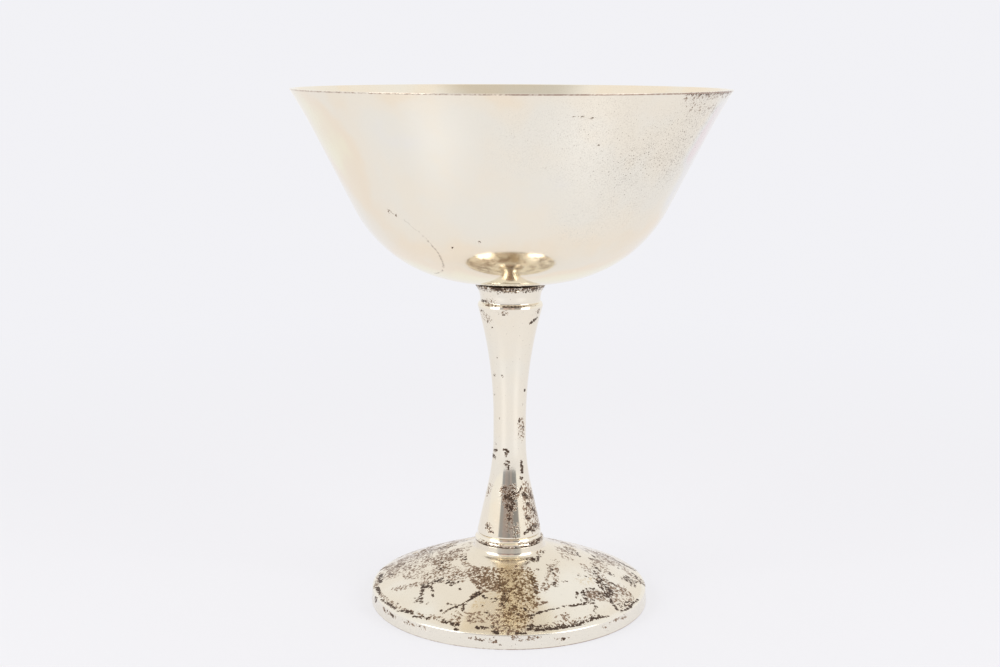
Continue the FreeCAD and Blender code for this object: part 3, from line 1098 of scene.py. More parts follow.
domeTarnish = [
    # golden brown column down the front
    (0.46, 3.4, 0.3, [(3.0, -14.5), (3.4, -19), (4.0, -23)]),
    (0.47, 3.2, 0.3, [(0.4, -21), (1.2, -27), (1.5, -31.2)]),
    (0.5, 1.6, 0.4, [(-1.6, -26), (-2.4, -31.5)]),
    (0.5, 1.6, 0.4, [(4.4, -26), (4.0, -31)]),
    (0.85, 1.2, 0.6, [(-0.8, -21), (-0.9, -24.5)]),
    (0.85, 0.8, 0.6, [(5.6, -15.5), (6.2, -18), (6.4, -20)]),
    (0.8, 0.7, 0.7, [(0.3, -25.8), (2.8, -28.2), (4.8, -27.8)]),
    (0.7, 0.6, 0.6, [(6.6, -24), (8.6, -23.2)]),
    # grey brown wing to the left of it
    (0.68, 2.7, 0.3, [(-7.2, -14), (-5, -16.5), (-2.5, -18)]),
    (0.62, 1.6, 0.5, [(-9.2, -11.5), (-8.2, -14), (-6, -13)]),
    (0.5, 1.6, 0.6, [(-4.5, -13), (-1.5, -13.8)]),
    (0.8, 0.5, 0.6, [(-9.3, -13), (-9, -15.2), (-7.6, -17.6), (-6.8, -19.2)]),
    (0.85, 0.7, 0.6, [(-8.2, -21.2), (-6.4, -20.3), (-4.6, -19.6), (-2.1, -20), (0, -20.5)]),
    # upper left field
    (0.62, 2.4, 0.4, [(-17, -1), (-16.6, -5), (-16, -9)]),
    (0.8, 1.2, 0.6, [(-16.8, -4.2), (-16.2, -9)]),
    (0.6, 1.7, 0.5, [(-13.5, 0), (-13.8, -4.5)]),
    (0.58, 2.2, 0.5, [(-15, -9.5), (-13, -12), (-11.6, -14)]),
    (0.45, 3.8, 0.5, [(-28, 0), (-22, -1)]),
    (0.42, 2.0, 0.5, [(-24, -6), (-20.5, -8), (-19, -10)]),
    (0.5, 1.0, 0.6, [(-25.4, -4.3), (-23, -4.5), (-20.7, -3.4)]),
    (0.46, 1.2, 0.6, [(-27.4, -10.2), (-23.2, -11.6), (-20.4, -12.2)]),
    (0.5, 0.9, 0.5, [(-11.2, -4), (-11, -7.5), (-10, -10)]),
    (0.3, 2.2, 0.4, [(-11, -1), (-10, 2)]),
    (0.34, 4.0, 0.5, [(-25, 6), (-16, 8)]),
    # light filigree under the leaf shaped clean patch
    (0.4, 1.6, 0.4, [(-8.5, -28.3), (-4.5, -28.6)]),
    (0.7, 0.4, 0.6, [(-10, -26.3), (-8.2, -27), (-5.7, -26.4), (-4.6, -27.7)]),
    (0.4, 1.2, 0.5, [(-12.5, -26), (-11, -28)]),
    # right hand side
    (0.5, 0.8, 0.6, [(9.6, -9.8), (10, -12), (11, -13.4), (11.2, -16)]),
    (0.34, 1.2, 0.5, [(11.5, -7), (10.5, -10), (9.2, -16), (8.4, -19)]),
    (0.6, 0.5, 0.6, [(11.4, -10), (11.8, -11.6)]),
    (0.32, 1.4, 0.5, [(18.2, -5), (19.5, -8)]),
    (0.42, 2.6, 0.5, [(22, 1.5), (22.4, -3)]),
    (0.3, 2.2, 0.5, [(13, 1), (14, -3)]),
    (0.45, 1.8, 0.5, [(27, -9), (28.5, -12), (27.5, -16)]),
    (0.7, 1.9, 0.5, [(19.2, -17.4), (21.4, -16.2)]),
    (0.6, 2.4, 0.5, [(22.4, -9.6), (24.6, -12.4), (24, -15.6)]),
    (0.45, 1.5, 0.5, [(21, -5.6), (22.6, -8)]),
    (0.36, 1.2, 0.5, [(11.6, -27.4), (13.2, -26.4)]),
    (0.45, 0.7, 0.5, [(7, -5.8), (8.4, -3.4)]),
    (0.5, 0.9, 0.5, [(-32.2, 4), (-32.4, -5)]),
    (0.36, 0.7, 0.6, [(-31.4, -9), (-28.6, -15), (-25.4, -19.8), (-20, -24.4)]),
    (0.36, 0.8, 0.6, [(-18.6, -25), (-14.4, -27.6), (-11.4, -29)]),
    (0.36, 1.0, 0.6, [(8, -30.4), (13.4, -28.4), (19, -25)]),
]

domeMarks = [
    # left
    (1.4, 0.4, 0.6, [(-31.9, 2.3), (-31.6, -2.8)]),
    (1.3, 0.25, 0.6, [(-32.3, -4.8), (-31.2, -9.4)]),
    (1.4, 0.2, 0.6, [(-30.4, -13), (-28.8, -15.6), (-26.6, -18.9)]),
    (0.95, 0.25, 0.6, [(-26, -20.2), (-24, -21)]),
    (1.3, 0.26, 0.6, [(-23.9, -21.5), (-22.6, -22.5)]),
    (0.95, 0.28, 0.6, [(-21.8, -24.1), (-20, -25), (-18.4, -26)]),
    (0.9, 0.3, 0.7, [(-16.3, -26.6)]),
    (1.0, 0.33, 0.6, [(-15.5, -27.4), (-13.6, -28.7), (-11.6, -29.7)]),
    (0.95, 0.35, 0.6, [(-11.8, -30.8)]),
    (0.9, 0.3, 0.7, [(-26.1, -17.2)]),
    (0.95, 0.3, 0.7, [(-20.5, -12.8), (-20.6, -15.5), (-20.4, -19.6)]),
    (0.9, 0.7, 0.8, [(-21.5, -18)]),
    (0.9, 0.8, 0.8, [(-19.5, -13.8)]),
    (0.85, 0.7, 0.8, [(-17.4, -12.6), (-16.3, -13.2)]),
    (0.75, 0.25, 0.7, [(-18.2, -15.3), (-17.9, -18.6)]),
    (0.85, 0.45, 0.8, [(-15, -14.1), (-13.5, -15.8), (-12.1, -15.2)]),
    (0.75, 0.6, 0.8, [(-12.6, -13.2)]),
    (0.8, 0.28, 0.7, [(-11.6, -18.3)]),
    (0.7, 0.3, 0.7, [(-19.1, -20.5)]),
    (0.8, 0.3, 0.8, [(-16.7, -3.4), (-16, -5.8)]),
    (0.7, 0.35, 0.8, [(-17.5, -6.4), (-15.4, -9.2)]),
    (0.7, 0.35, 0.8, [(-11.5, -5), (-10.6, -7)]),
    # thorny branch off the wing
    (1.0, 0.45, 0.8, [(-8.4, -21.6), (-7.2, -20.6)]),
    (1.35, 0.16, 0.7, [(-8.6, -22), (-10, -23), (-11.8, -23.9), (-13.6, -24.3), (-15, -25.2)]),
    (0.8, 0.4, 0.8, [(-10, -23.2), (-11.2, -24), (-12.4, -23.6)]),
    (0.85, 0.28, 0.7, [(-10.4, -23.4), (-10.7, -25.6)]),
    (0.7, 0.25, 0.7, [(-12.4, -23.7), (-14.1, -22.4)]),
    (0.7, 0.25, 0.7, [(-15.7, -24.3)]),
    (0.85, 0.3, 0.7, [(-6, -21.6), (-5.4, -22.4)]),
    (0.75, 0.3, 0.7, [(-6.3, -24.4)]),
    (0.75, 0.4, 0.8, [(-3.8, -23.2), (-2.6, -23)]),
    (0.85, 0.3, 0.7, [(-5, -26.8), (-4.6, -27.8)]),
    # bottom edge
    (0.9, 0.35, 0.7, [(-7.1, -31.1), (-4.6, -31.4), (-2.2, -30.8)]),
    (1.5, 0.34, 0.6, [(-3.3, -32.6), (-2.6, -32.8)]),
    (1.4, 0.17, 0.6, [(1.6, -33), (3.9, -33)]),
    (0.8, 0.5, 0.8, [(-0.8, -22), (-1, -24.4)]),
    (0.9, 0.3, 0.7, [(3.4, -25.6), (5.2, -27.4), (5.2, -28.4)]),
    # long crack and crease line to the right
    (1.5, 0.24, 0.6, [(5.4, -27.5), (7.5, -26.3)]),
    (1.4, 0.17, 0.6, [(7.5, -26.3), (10.3, -24.7), (11.6, -24.3)]),
    (1.2, 0.18, 0.7, [(12.5, -23.5), (15, -22.5), (17.1, -21.3), (18.2, -20.5), (20, -19.8)]),
    (1.4, 0.34, 0.6, [(4.8, -31.5), (6.6, -31.8)]),
    (0.85, 0.55, 0.7, [(4.6, -30.9), (8.2, -31)]),
    (1.5, 0.2, 0.7, [(6.6, -31.8), (8.9, -31.2), (11.4, -30.4), (13.9, -29.3)]),
    (0.85, 0.36, 0.7, [(7.4, -31.2), (11.2, -30.1), (13.5, -29)]),
    (1.35, 0.17, 0.7, [(13.9, -29.3), (15.7, -28.4), (17.8, -27), (19.6, -25.4), (21.4, -23.9), (23, -23)]),
    (0.85, 0.3, 0.7, [(14.4, -28.7), (17.4, -26.7), (20.8, -23.8)]),
    # ring of dark loops and the feathered patch
    (0.9, 0.4, 0.8, [(20, -14.3), (18.5, -15.5), (17.5, -17.3), (18.2, -19.3), (20, -18.8)]),
    (0.8, 0.3, 0.7, [(21.7, -17), (21.4, -15.5)]),
    (0.85, 0.25, 0.7, [(16, -17.7), (16, -19.4), (17.1, -20.2)]),
    (0.8, 0.3, 0.7, [(20.4, -20.8), (20, -23)]),
    (1.0, 0.9, 0.8, [(22.4, -10.4)]),
    (0.9, 0.35, 0.8, [(20.6, -6), (20.8, -7.6), (22, -8.4)]),
    (0.9, 0.35, 0.7, [(23.5, -8.6), (25.7, -8.9)]),
    (0.9, 0.3, 0.7, [(21.6, -12.4), (22.8, -13.4)]),
    (1.2, 0.45, 0.8, [(22.6, -11.2), (24.4, -12.8), (23.6, -15)]),
    (0.95, 0.9, 0.8, [(23.4, -15.3)]),
    (1.4, 0.26, 0.7, [(23.8, -15.6), (24.2, -17.4), (25.4, -19.4)]),
    (0.9, 0.25, 0.7, [(25.6, -17.2), (27.4, -15.6), (28.8, -14.2)]),
    (0.9, 0.25, 0.7, [(26, -18.2), (27.6, -16.6)]),
    (1.4, 0.22, 0.7, [(26.4, -19.6), (28.5, -17), (29.6, -14.2), (30.8, -12)]),
    (0.8, 0.6, 0.8, [(25, -3.6)]),
    (0.85, 0.7, 0.8, [(28.4, -3.4), (29.3, -1.4)]),
    (0.85, 0.5, 0.8, [(31, -2), (30.2, -3.4), (30.3, -5.4)]),
    (0.7, 0.4, 0.8, [(20.5, -2.3), (22, -4.6)]),
    # specks
    (0.9, 0.3, 0.7, [(16.6, -11), (17.1, -10.2)]),
    (0.7, 0.25, 0.7, [(18, -9.9), (18.8, -10)]),
    (0.9, 0.6, 0.8, [(11, -16.4)]),
    (0.75, 0.25, 0.7, [(12.8, -14.9), (13.6, -14.4)]),
    (0.75, 0.3, 0.8, [(9.8, -10.6), (10.4, -12.4)]),
    (0.7, 0.3, 0.7, [(6.8, -12.3)]),
    (1.2, 0.5, 0.8, [(5.0, -9.1), (6.4, -8.5)]),
    (1.1, 0.3, 0.8, [(7.0, -7.6), (7.6, -6.8)]),
    (0.9, 0.4, 0.8, [(4.4, -10), (5, -9.4)]),
    (0.75, 0.3, 0.7, [(7.6, -5.6), (8.6, -3.4)]),
    (0.75, 0.3, 0.7, [(4.2, -10.2), (3.8, -11)]),
]

skirtTarnish = [
    (0.5, 0.5, 0.5, [(-62, 2.5), (-52, 2.4)]),
    (0.45, 0.5, 0.5, [(-47, 2.5), (-34, 2.5)]),
    (0.45, 0.5, 0.5, [(-15, 2.4), (-5, 2.0)]),
    (0.42, 0.6, 0.5, [(3, 2.6), (12, 2.7)]),
    (0.4, 0.4, 0.5, [(18, 1.9), (24, 1.6)]),
    (0.32, 0.7, 0.5, [(40, 2.4), (55, 2.7)]),
]

footRimStain = [
    (0.55, 0.6, 0.5, ringOf(-180, 0, 6, 0.1)),
    (0.8, 0.6, 0.5, ringOf(0, 180, 6, 0.1)),
]

skirtMarks = [
    (0.8, 0.28, 0.7, [(-60, 2.4), (-58, 2.5)]),
    (0.9, 0.3, 0.7, [(-55, 2.5), (-53, 2.3)]),
    (0.8, 0.25, 0.7, [(-46, 2.6), (-44, 2.3)]),
    (0.8, 0.28, 0.7, [(-38, 2.7), (-36, 2.4)]),
    (0.85, 0.3, 0.7, [(-12.5, 2.1), (-10.5, 1.9)]),
    (0.8, 0.25, 0.7, [(-5.5, 2.9), (-4.5, 2.2)]),
    (0.9, 0.2, 0.7, [(-3.2, 1.4), (-3, 1.1)]),
    (0.75, 0.25, 0.7, [(6, 3), (6.8, 2.5)]),
    (0.8, 0.25, 0.7, [(20, 1.9), (22.5, 1.6)]),
    (0.7, 0.25, 0.7, [(52, 2.9)]),
    (0.9, 0.5, 0.7, [(-73, 2.4), (-71, 3)]),
]

stemTarnish = [
    (0.66, 1.5, 0.5, [(-9, 28.5), (-3, 26), (4, 25)]),
    (0.5, 1.4, 0.6, [(9, 29), (14, 27)]),
    (0.4, 1.0, 0.6, [(0, 23), (-1, 19.5)]),
    (0.42, 1.1, 0.6, [(14, 20), (12, 18.4)]),
    (0.5, 1.6, 0.6, [(48, 29), (46, 25)]),
    (0.62, 2.2, 0.5, [(50, 24), (52, 20)]),
    (0.55, 2.2, 0.5, [(68, 26), (72, 20)]),
    (0.5, 1.0, 0.6, [(-47, 19.5), (-38, 19)]),
    (0.4, 1.2, 0.6, [(44, 45), (48, 41.5)]),
    (0.34, 1.4, 0.6, [(-66, 71.5), (-48, 70.5)]),
    (0.34, 1.0, 0.6, [(60, 72)]),
    (0.3, 1.0, 0.6, [(-20, 72.6), (-10, 72.2)]),
    (0.35, 1.0, 0.6, [(-62, 29), (-70, 27)]),
]

stemMarks = [
    (0.95, 0.3, 0.7, [(-66, 37.6), (-52, 37.9)]),
    (0.95, 0.32, 0.7, [(-76, 36.2), (-58, 36)]),
    (0.7, 0.2, 0.7, [(-62, 39.4), (-54, 39.4)]),
    (0.95, 0.2, 0.7, [(-22, 38.4), (-10, 38.3), (-4, 37.9)]),
    (0.9, 0.26, 0.7, [(-13, 37.6), (-12, 37)]),
    (0.95, 0.18, 0.7, [(-10, 35.7), (-1, 35.3)]),
    (0.9, 0.28, 0.7, [(-14, 34.8), (-3, 34.4), (-7, 33.7)]),
    (0.9, 0.5, 0.8, [(-8, 27.2), (-2, 26.7)]),
    (0.9, 0.4, 0.8, [(4, 26.6), (9, 25.3)]),
    (0.9, 0.45, 0.8, [(-4, 24.8), (5, 24.3)]),
    (0.8, 0.3, 0.8, [(-16, 29.2), (-10, 28.8)]),
    (0.85, 0.3, 0.8, [(6, 29), (12, 27.6)]),
    (0.75, 0.3, 0.8, [(-2, 23.4), (0, 22)]),
    (0.75, 0.15, 0.7, [(19, 27.9), (28, 28.2), (34, 29.4)]),
    (0.9, 0.35, 0.8, [(43, 35.2), (42, 32.8)]),
    (0.85, 0.3, 0.8, [(35, 31.4), (40, 31.2)]),
    (0.8, 0.4, 0.8, [(38, 27.4), (48, 26.6)]),
    (0.75, 0.35, 0.8, [(44, 25), (52, 24.6)]),
    (0.8, 0.35, 0.8, [(38, 22), (48, 21.6)]),
    (0.85, 0.35, 0.8, [(64, 26.8), (72, 26)]),
    (0.8, 0.35, 0.8, [(62, 23.4), (70, 22.4)]),
    (1.0, 0.3, 0.8, [(30, 18.4), (40, 18.9), (52, 18.4)]),
    (0.9, 0.35, 0.8, [(44, 19.6), (62, 19.2)]),
    (0.8, 0.2, 0.7, [(-50, 19), (-46, 20)]),
    (0.8, 0.2, 0.7, [(-42, 19.6), (-38, 19.2)]),
    (0.8, 0.2, 0.7, [(-36, 18.5), (-31, 18.3)]),
    (0.85, 0.25, 0.7, [(53, 43.7), (58, 43.5)]),
    (0.7, 0.2, 0.7, [(50, 42.4)]),
    (0.65, 0.18, 0.7, [(33, 42)]),
    (0.65, 0.2, 0.7, [(36, 45.8), (34, 44.8)]),
    (0.95, 0.3, 0.7, [(44, 69.6), (50, 70.1), (62, 70.4)]),
    (0.7, 0.2, 0.7, [(60, 71.8), (64, 71.8)]),
    (0.7, 0.18, 0.7, [(-13, 72), (-9, 71.9)]),
    (0.6, 0.15, 0.7, [(-70, 72.2), (-56, 72.2)]),
    (0.6, 0.18, 0.7, [(-52, 69.9), (-49, 69.8)]),
    (0.6, 0.15, 0.7, [(-42, 68.4), (-39, 68.5)]),
    (0.75, 0.22, 0.7, [(-55, 56.4), (-51, 56.5)]),
    (0.6, 0.2, 0.7, [(-25, 56.7), (-21, 56.4)]),
    (0.6, 0.15, 0.7, [(-66, 51.6), (-58, 51.8)]),
    (0.8, 0.2, 0.7, [(54, 52.8), (59, 52.7)]),
    (0.55, 0.15, 0.7, [(-38, 60.8), (-33, 61.2)]),
    (0.7, 0.15, 0.7, [(-44, 45.9), (-38, 45.9)]),
    (0.55, 0.15, 0.7, [(47, 49.3), (50, 49.2)]),
]

# The film runs yellow, peach, cream, neutral, bluish, pink as the value rises from 0 to 1.
bowlFilm = [
    (0.6, 16.0, 0.8, [(-20, 108), (20, 104)]),
    (0.22, 7.0, 0.9, [(-76, 121), (-66, 119), (-58, 112)]),
    (0.33, 6.0, 0.9, [(-66, 106), (-56, 102), (-52, 96)]),
    (0.08, 4.0, 0.9, [(-72, 112), (-66, 110)]),
    (0.34, 5.0, 0.9, [(-60, 91), (-20, 90), (20, 90), (60, 92)]),
    (0.02, 5.0, 0.9, [(-60, 84), (-30, 82), (30, 82), (60, 84)]),
    (0.36, 4.0, 0.9, [(-46, 121), (-30, 122.5), (0, 122.5)]),
    (0.68, 5.0, 0.95, [(-36, 117), (-29, 114.5)]),
    (0.62, 4.0, 0.95, [(-24, 118), (-8, 118)]),
    (0.9, 3.2, 0.9, [(76, 122), (73, 112), (70, 100)]),
    (1.0, 3.0, 0.9, [(69, 119), (67, 110)]),
]

bowlPits = [
    (1.0, 9.0, 0.8, [(54, 110), (58, 116), (56, 120)]),
    (0.85, 10.0, 0.8, [(38, 109), (48, 113)]),
    (0.6, 12.0, 0.8, [(22, 116), (40, 105)]),
    (0.45, 8.0, 0.8, [(26, 98)]),
    (0.35, 9.0, 0.8, [(4, 114)]),
    (0.3, 14.0, 0.8, [(150, 105)]),
    (0.25, 12.0, 0.8, [(-120, 110)]),
]

bowlScratch = [
    (0.5, 0.8, 0.3, [(-45, 98), (-41.6, 97.2)]),
    (0.26, 0.8, 0.3, [(-41, 97.2), (-35, 94.5), (-33, 92.6)]),
    (0.42, 0.8, 0.3, [(-33, 92.6), (-30.4, 89.2), (-30, 87.5), (-33, 85.3)]),
    (0.25, 0.8, 0.3, [(-33, 85.3), (-36, 84.4)]),
    (0.6, 0.8, 0.3, [(-36.4, 84.3), (-41, 83.5), (-45, 83)]),
]

bowlMarks = [
    (0.8, 0.34, 0.8, [(-44.8, 98.1)]),
    (0.9, 0.36, 0.8, [(-42, 97.3)]),
    (0.6, 0.3, 0.8, [(-12, 92.4), (-11, 92.4)]),
    (0.6, 0.3, 0.8, [(-22.2, 90.8)]),
    (0.55, 0.3, 0.8, [(-1.4, 96)]),
    (0.6, 0.3, 0.8, [(0.8, 115.2)]),
    (0.5, 0.3, 0.8, [(-0.4, 116)]),
    (0.55, 0.3, 0.8, [(9.2, 109)]),
    (0.34, 0.3, 0.8, [(15, 119.6), (19.6, 119)]),
    (0.6, 0.3, 0.8, [(23.6, 113.5)]),
    (0.5, 0.3, 0.8, [(18.4, 116.3)]),
    (0.6, 0.3, 0.7, ringOf(46, 71, 5, 123.7)),
]

# Dark ring round the bowl's underside where it sits on the collar: tarnish and painted shade in the gap
# between bowl and collar.
seamShadeUnderBowl = [
    (1.3, 1.5, 0.4, ringOf(-180, 180, 10, 78.75)),
]

bowlRimStain = [
    (0.55, 1.0, 0.5, ringOf(-84, 0, 6, 123.6)),
    (0.75, 1.0, 0.5, ringOf(0, 84, 6, 123.6)),
]

bowlTarnish = [
    (0.3, 0.9, 0.7, ringOf(46, 70, 4, 123.0)),
    (0.5, 0.6, 0.7, ringOf(50, 74, 4, 123.5)),
    (0.22, 2.6, 0.8, [(50, 121.5), (66, 120)]),
]


def paintPiece(piece, wearAndShade, bases, outside=None, inside=None):
    # The strokes are wear, and at the joints also painted shade.
    # Bases are the film and the pits where no stroke reaches. Inside is what the layers are on the
    # inner faces, which no stroke marks.
    inner = inside or {}
    for layer in ("film", "stain", "tarnishAndShade", "marks", "pits", "scratch", "rimStain"):
        paint(piece, layer, wearAndShade.get(layer, []), base=bases.get(layer, 0.0), gentle=layer == "film",
              where=outside, elsewhere=inner.get(layer, 0.0))


def bowlIsOutside():
    points = meshPoints(bowl)
    skin = np.interp(points[:, 2], bowlHeights, bowlRadii)
    flat = points[:, 2] < bowlHeights[0] + bowlShape["wall"] / 2
    return (np.hypot(points[:, 0], points[:, 1]) > skin - bowlShape["wall"] / 2) | flat


def footIsOutside():
    shape = footShape
    points = meshPoints(foot)
    reach, height, half = np.hypot(points[:, 0], points[:, 1]), points[:, 2], shape["wall"] / 2
    skin = np.array([domeHeight(min(r, shape["domeEnd"])) for r in reach])
    skirt = reach > nodeRadius("foot_shell") - half
    hub = (reach > shape["hubTopRadius"] - half) & (height > shape["hubRootHeight"] - shape["hubMargin"])
    return (height > skin - half) | skirt | hub


def byAngle(azimuth, radius):
    return aroundAxis(azimuth, radius, domeHeight(min(radius, footShape["domeEnd"])))


def laid(strokes, place, spread=1.0):
    onPiece = []
    for strength, width, soft, path in strokes:
        onPiece.append((strength, width * spread, soft, [place(*point) for point in path]))
    return onPiece


def hiddenSide(seed, count, side, place, strength, width):
    # The side that nobody has seen gets the same kind of wear, scattered.
    dice = np.random.default_rng(seed)
    strokes = []
    for _ in range(count):
        path = [(dice.uniform(*side["azimuth"]), dice.uniform(*side["along"]))]
        for _ in range(side["bends"]):
            azimuth, along = path[-1]
            path.append((azimuth + dice.uniform(-1, 1) * side["azimuthStep"],
                         along + dice.uniform(-1, 1) * side["alongStep"]))
        strokes.append((strength * dice.uniform(*side["strength"]), width * dice.uniform(*side["width"]),
                        side["softness"], path))
    return laid(strokes, place)


marksSpread = {"stem": 1.3, "skirt": 1.3, "dome": 1.6}    # how much wider than drawn they are laid
anySide = {"azimuth": (95, 265), "bends": 2, "strength": (0.6, 1), "width": (0.5, 1.4), "softness": 0.6}
domeBehind = {**anySide, "along": (11, 32.5), "azimuthStep": 12, "alongStep": 2.5}
stemBehind = {**anySide, "along": (18.5, 36), "azimuthStep": 25, "alongStep": 2}
# The bowl's strokes include painted shade in the gap under the bowl.
bowlWearAndShade = {
    "film": laid(bowlFilm, onBowl),
    "tarnishAndShade": laid(bowlTarnish, onBowl),
    "marks": laid(bowlMarks + seamShadeUnderBowl, onBowl),
    "pits": laid(bowlPits, onBowl),
    "scratch": laid(bowlScratch, onBowl),
    "rimStain": laid(bowlRimStain, onBowl),
}
stemWear = {
    "tarnishAndShade": laid(stemTarnish, onStem) + hiddenSide(6, 9, stemBehind, onStem, 0.48, 1.6),
    "marks": laid(stemMarks, onStem, marksSpread["stem"])
    + hiddenSide(7, 9, stemBehind, onStem, 0.9, 0.22),
}
footWear = {
    "film": laid(footFilm, onSkirt) + laid(domeFilm, onDome),
    "stain": laid(domeStain, onDome) + hiddenSide(3, 8, domeBehind, byAngle, 0.8, 2.6),
    "tarnishAndShade": laid(domeTarnish, onDome) + laid(skirtTarnish, onSkirt)
    + hiddenSide(4, 30, domeBehind, byAngle, 0.7, 1.8),
    "marks": laid(domeMarks, onDome, marksSpread["dome"])
    + laid(skirtMarks, onSkirt, marksSpread["skirt"])
    + hiddenSide(5, 40, domeBehind, byAngle, 1.0, 0.4),
    "rimStain": laid(footRimStain, onSkirt),
}

# Dark ring on the collar's top face, inside the gap under the bowl: tarnish and painted shade.
seamShadeOnCollar = [
    (1.3, 1.4, 0.4, ringOf(-180, 180, 10, 6.9, 78.45)),
]
# On the collar, the rings along the lip's top edge darken the joint under the bowl: partly tarnish, partly
# painted shade. The other strokes are tarnish and marks.
collarTarnishAndShade = [
    (0.62, 0.5, 0.6, ringOf(-180, 180, 10, 8.3, 78.1)),
    (0.36, 1.0, 0.6, [(-50, 7.5, 74.6), (-30, 7.4, 74.4)]),
    (0.5, 0.35, 0.6, ringOf(-50, 50, 10, 7.7, 73.7)),
]
collarMarksAndShade = [
    (0.8, 0.25, 0.8, ringOf(-30, 60, 10, 8.3, 78)),
    (0.8, 0.3, 0.8, ringOf(-90, -50, 10, 8.3, 78.2)),
    (0.8, 0.2, 0.7, [(-22, 7.8, 76.8)]),
    (0.8, 0.3, 0.8, [(-12, 7.74, 73.9), (14, 7.74, 73.9)]),
    (0.8, 0.3, 0.8, [(-70, 7.4, 74.5), (-50, 7.4, 74.6)]),
]
# On the ring, the lines along its bottom edge where it meets the foot are partly tarnish, partly painted
# shade under the ring. The other strokes are tarnish and marks.
ringTarnishAndShade = [
    (0.5, 0.5, 0.6, ringOf(-60, -10, 10, 8.2, 15.6)),
    (0.55, 0.7, 0.6, ringOf(20, 90, 10, 8.2, 15.8)),
    (0.6, 0.35, 0.6, ringOf(-180, 180, 10, 8.4, 15.05)),
]
ringMarksAndShade = [
    (1.0, 0.22, 0.7, ringOf(-75, 5, 8, 8.4, 15.0)),
    (1.0, 0.32, 0.7, ringOf(10, 60, 10, 8.4, 15.0)),
    (0.85, 0.4, 0.8, [(38, 8.2, 15.7), (52, 8.2, 15.8), (70, 8.2, 15.8)]),
    (0.8, 0.25, 0.8, [(-52, 8.3, 15.5), (-40, 8.3, 15.4)]),
]
# The collar's and the ring's strokes include painted shade at their joints.
collarWearAndShade = {
    "tarnishAndShade": laid(collarTarnishAndShade, aroundAxis),
    "marks": laid(collarMarksAndShade + seamShadeOnCollar, aroundAxis),
}
ringWearAndShade = {
    "tarnishAndShade": laid(ringTarnishAndShade, aroundAxis),
    "marks": laid(ringMarksAndShade, aroundAxis),
}

turnedBases = {"film": 0.5, "pits": 0.3}
paintPiece(bowl, bowlWearAndShade, {"film": 0.5, "pits": 0.04}, bowlIsOutside(),
           {"film": 0.42, "stain": 0.1, "pits": 0.2})
paintPiece(foot, footWear, {"film": 0.45, "pits": 0.35}, footIsOutside(),
           {"film": 0.35, "stain": 0.5, "tarnishAndShade": 0.3, "pits": 0.5})
paintPiece(stem, stemWear, turnedBases)
paintPiece(topCollar, collarWearAndShade, turnedBases)
paintPiece(baseCollar, ringWearAndShade, turnedBases)
print("wear painted")

bowlPlate = silverPlate("bowlPlate", {
    "polish": 0.07,
    "smudge": 0.05,
    "reliefDepth": 0.006,
    "pitScale": 2.1,
    "pitShare": 0.72,
    "hairShare": 0.55,
    "markCore": 0.9,
    "scratchPlane": ((0.599, 0.438, 0.668), 38.07),
    "rimLine": (123.8, 0.2),
})
stemPlate = silverPlate("stemPlate", {
    "polish": 0.05,
    "mottleScale": 2.2,
    "veinScale": 1.3,
    "markScale": 2.6,
    "markCore": 0.95,
})
footPlate = silverPlate("footPlate", {
    "polish": 0.12,
    "smudge": 0.08,
    "mottleScale": 1.5,
    "markScale": 1.5,
    "markCore": 0.72,
    "rimLine": (0.1, 0.16),
    "filmSwing": 0.5,
    "filmColours": [(0.0, (0.86, 0.78, 0.59)), (0.25, (0.87, 0.78, 0.62)), (0.45, (0.845, 0.77, 0.64)),
                    (0.65, (0.89, 0.845, 0.745)), (1.0, (0.91, 0.87, 0.80))],
})
bowl.data.materials.append(bowlPlate)
foot.data.materials.append(footPlate)
for piece in (topCollar, stem, baseCollar):
    piece.data.materials.append(stemPlate)


# Plain metals of the hidden fastenings

metalLook = {
    "brass": {"colour": (0.80, 0.58, 0.26), "dull": (0.42, 0.27, 0.12), "rough": 0.26, "turning": 5.0},
    "zinc": {"colour": (0.66, 0.67, 0.68), "dull": (0.40, 0.40, 0.39), "rough": 0.34, "turning": 3.0},
    "spring": {"colour": (0.30, 0.30, 0.31), "dull": (0.16, 0.12, 0.10), "rough": 0.4, "turning": 3.0},
    "patchScale": 0.5,
    "speckScale": 2.6,
    "wornEdge": (0.68, 0.9),
    "wornDulls": 0.22,
    "turningDulls": 0.03,
    "turningWander": 2.0,
    "turningHeight": 0.4,
    "reliefDepth": 0.01,
}


def plainMetal(name, kind):
    look, metal = metalLook, metalLook[kind]
    material, tree, shader = startMaterial(name)
    place = inMillimetres(tree)
    patch = grain(tree, place, look["patchScale"], 5, 0.6)
    speck = grain(tree, place, look["speckScale"], 4, 0.6)
    worn = step(tree, calc(tree, "MULTIPLY_ADD", speck, 0.5, patch), *look["wornEdge"])
    feed(tree, shader.inputs["Base Color"], blend(tree, worn, metal["colour"], metal["dull"]))
    # Fine turning marks run round the axis.
    reach = vectorCalc(tree, "LENGTH", vectorCalc(tree, "MULTIPLY", place, (1.0, 1.0, 0.0)), (0, 0, 0))
    wander = calc(tree, "MULTIPLY", speck, look["turningWander"])
    rings = calc(tree, "SINE", calc(tree, "MULTIPLY_ADD", reach, metal["turning"] * 2 * math.pi, wander))
    rough = calc(tree, "MULTIPLY_ADD", worn, look["wornDulls"], metal["rough"])
    feed(tree, shader.inputs["Roughness"], calc(tree, "MULTIPLY_ADD", rings, look["turningDulls"], rough))
    shader.inputs["Metallic"].default_value = 1.0
    relief = calc(tree, "MULTIPLY_ADD", rings, look["turningHeight"], speck)
    bump(tree, shader, relief, look["reliefDepth"])
    return material


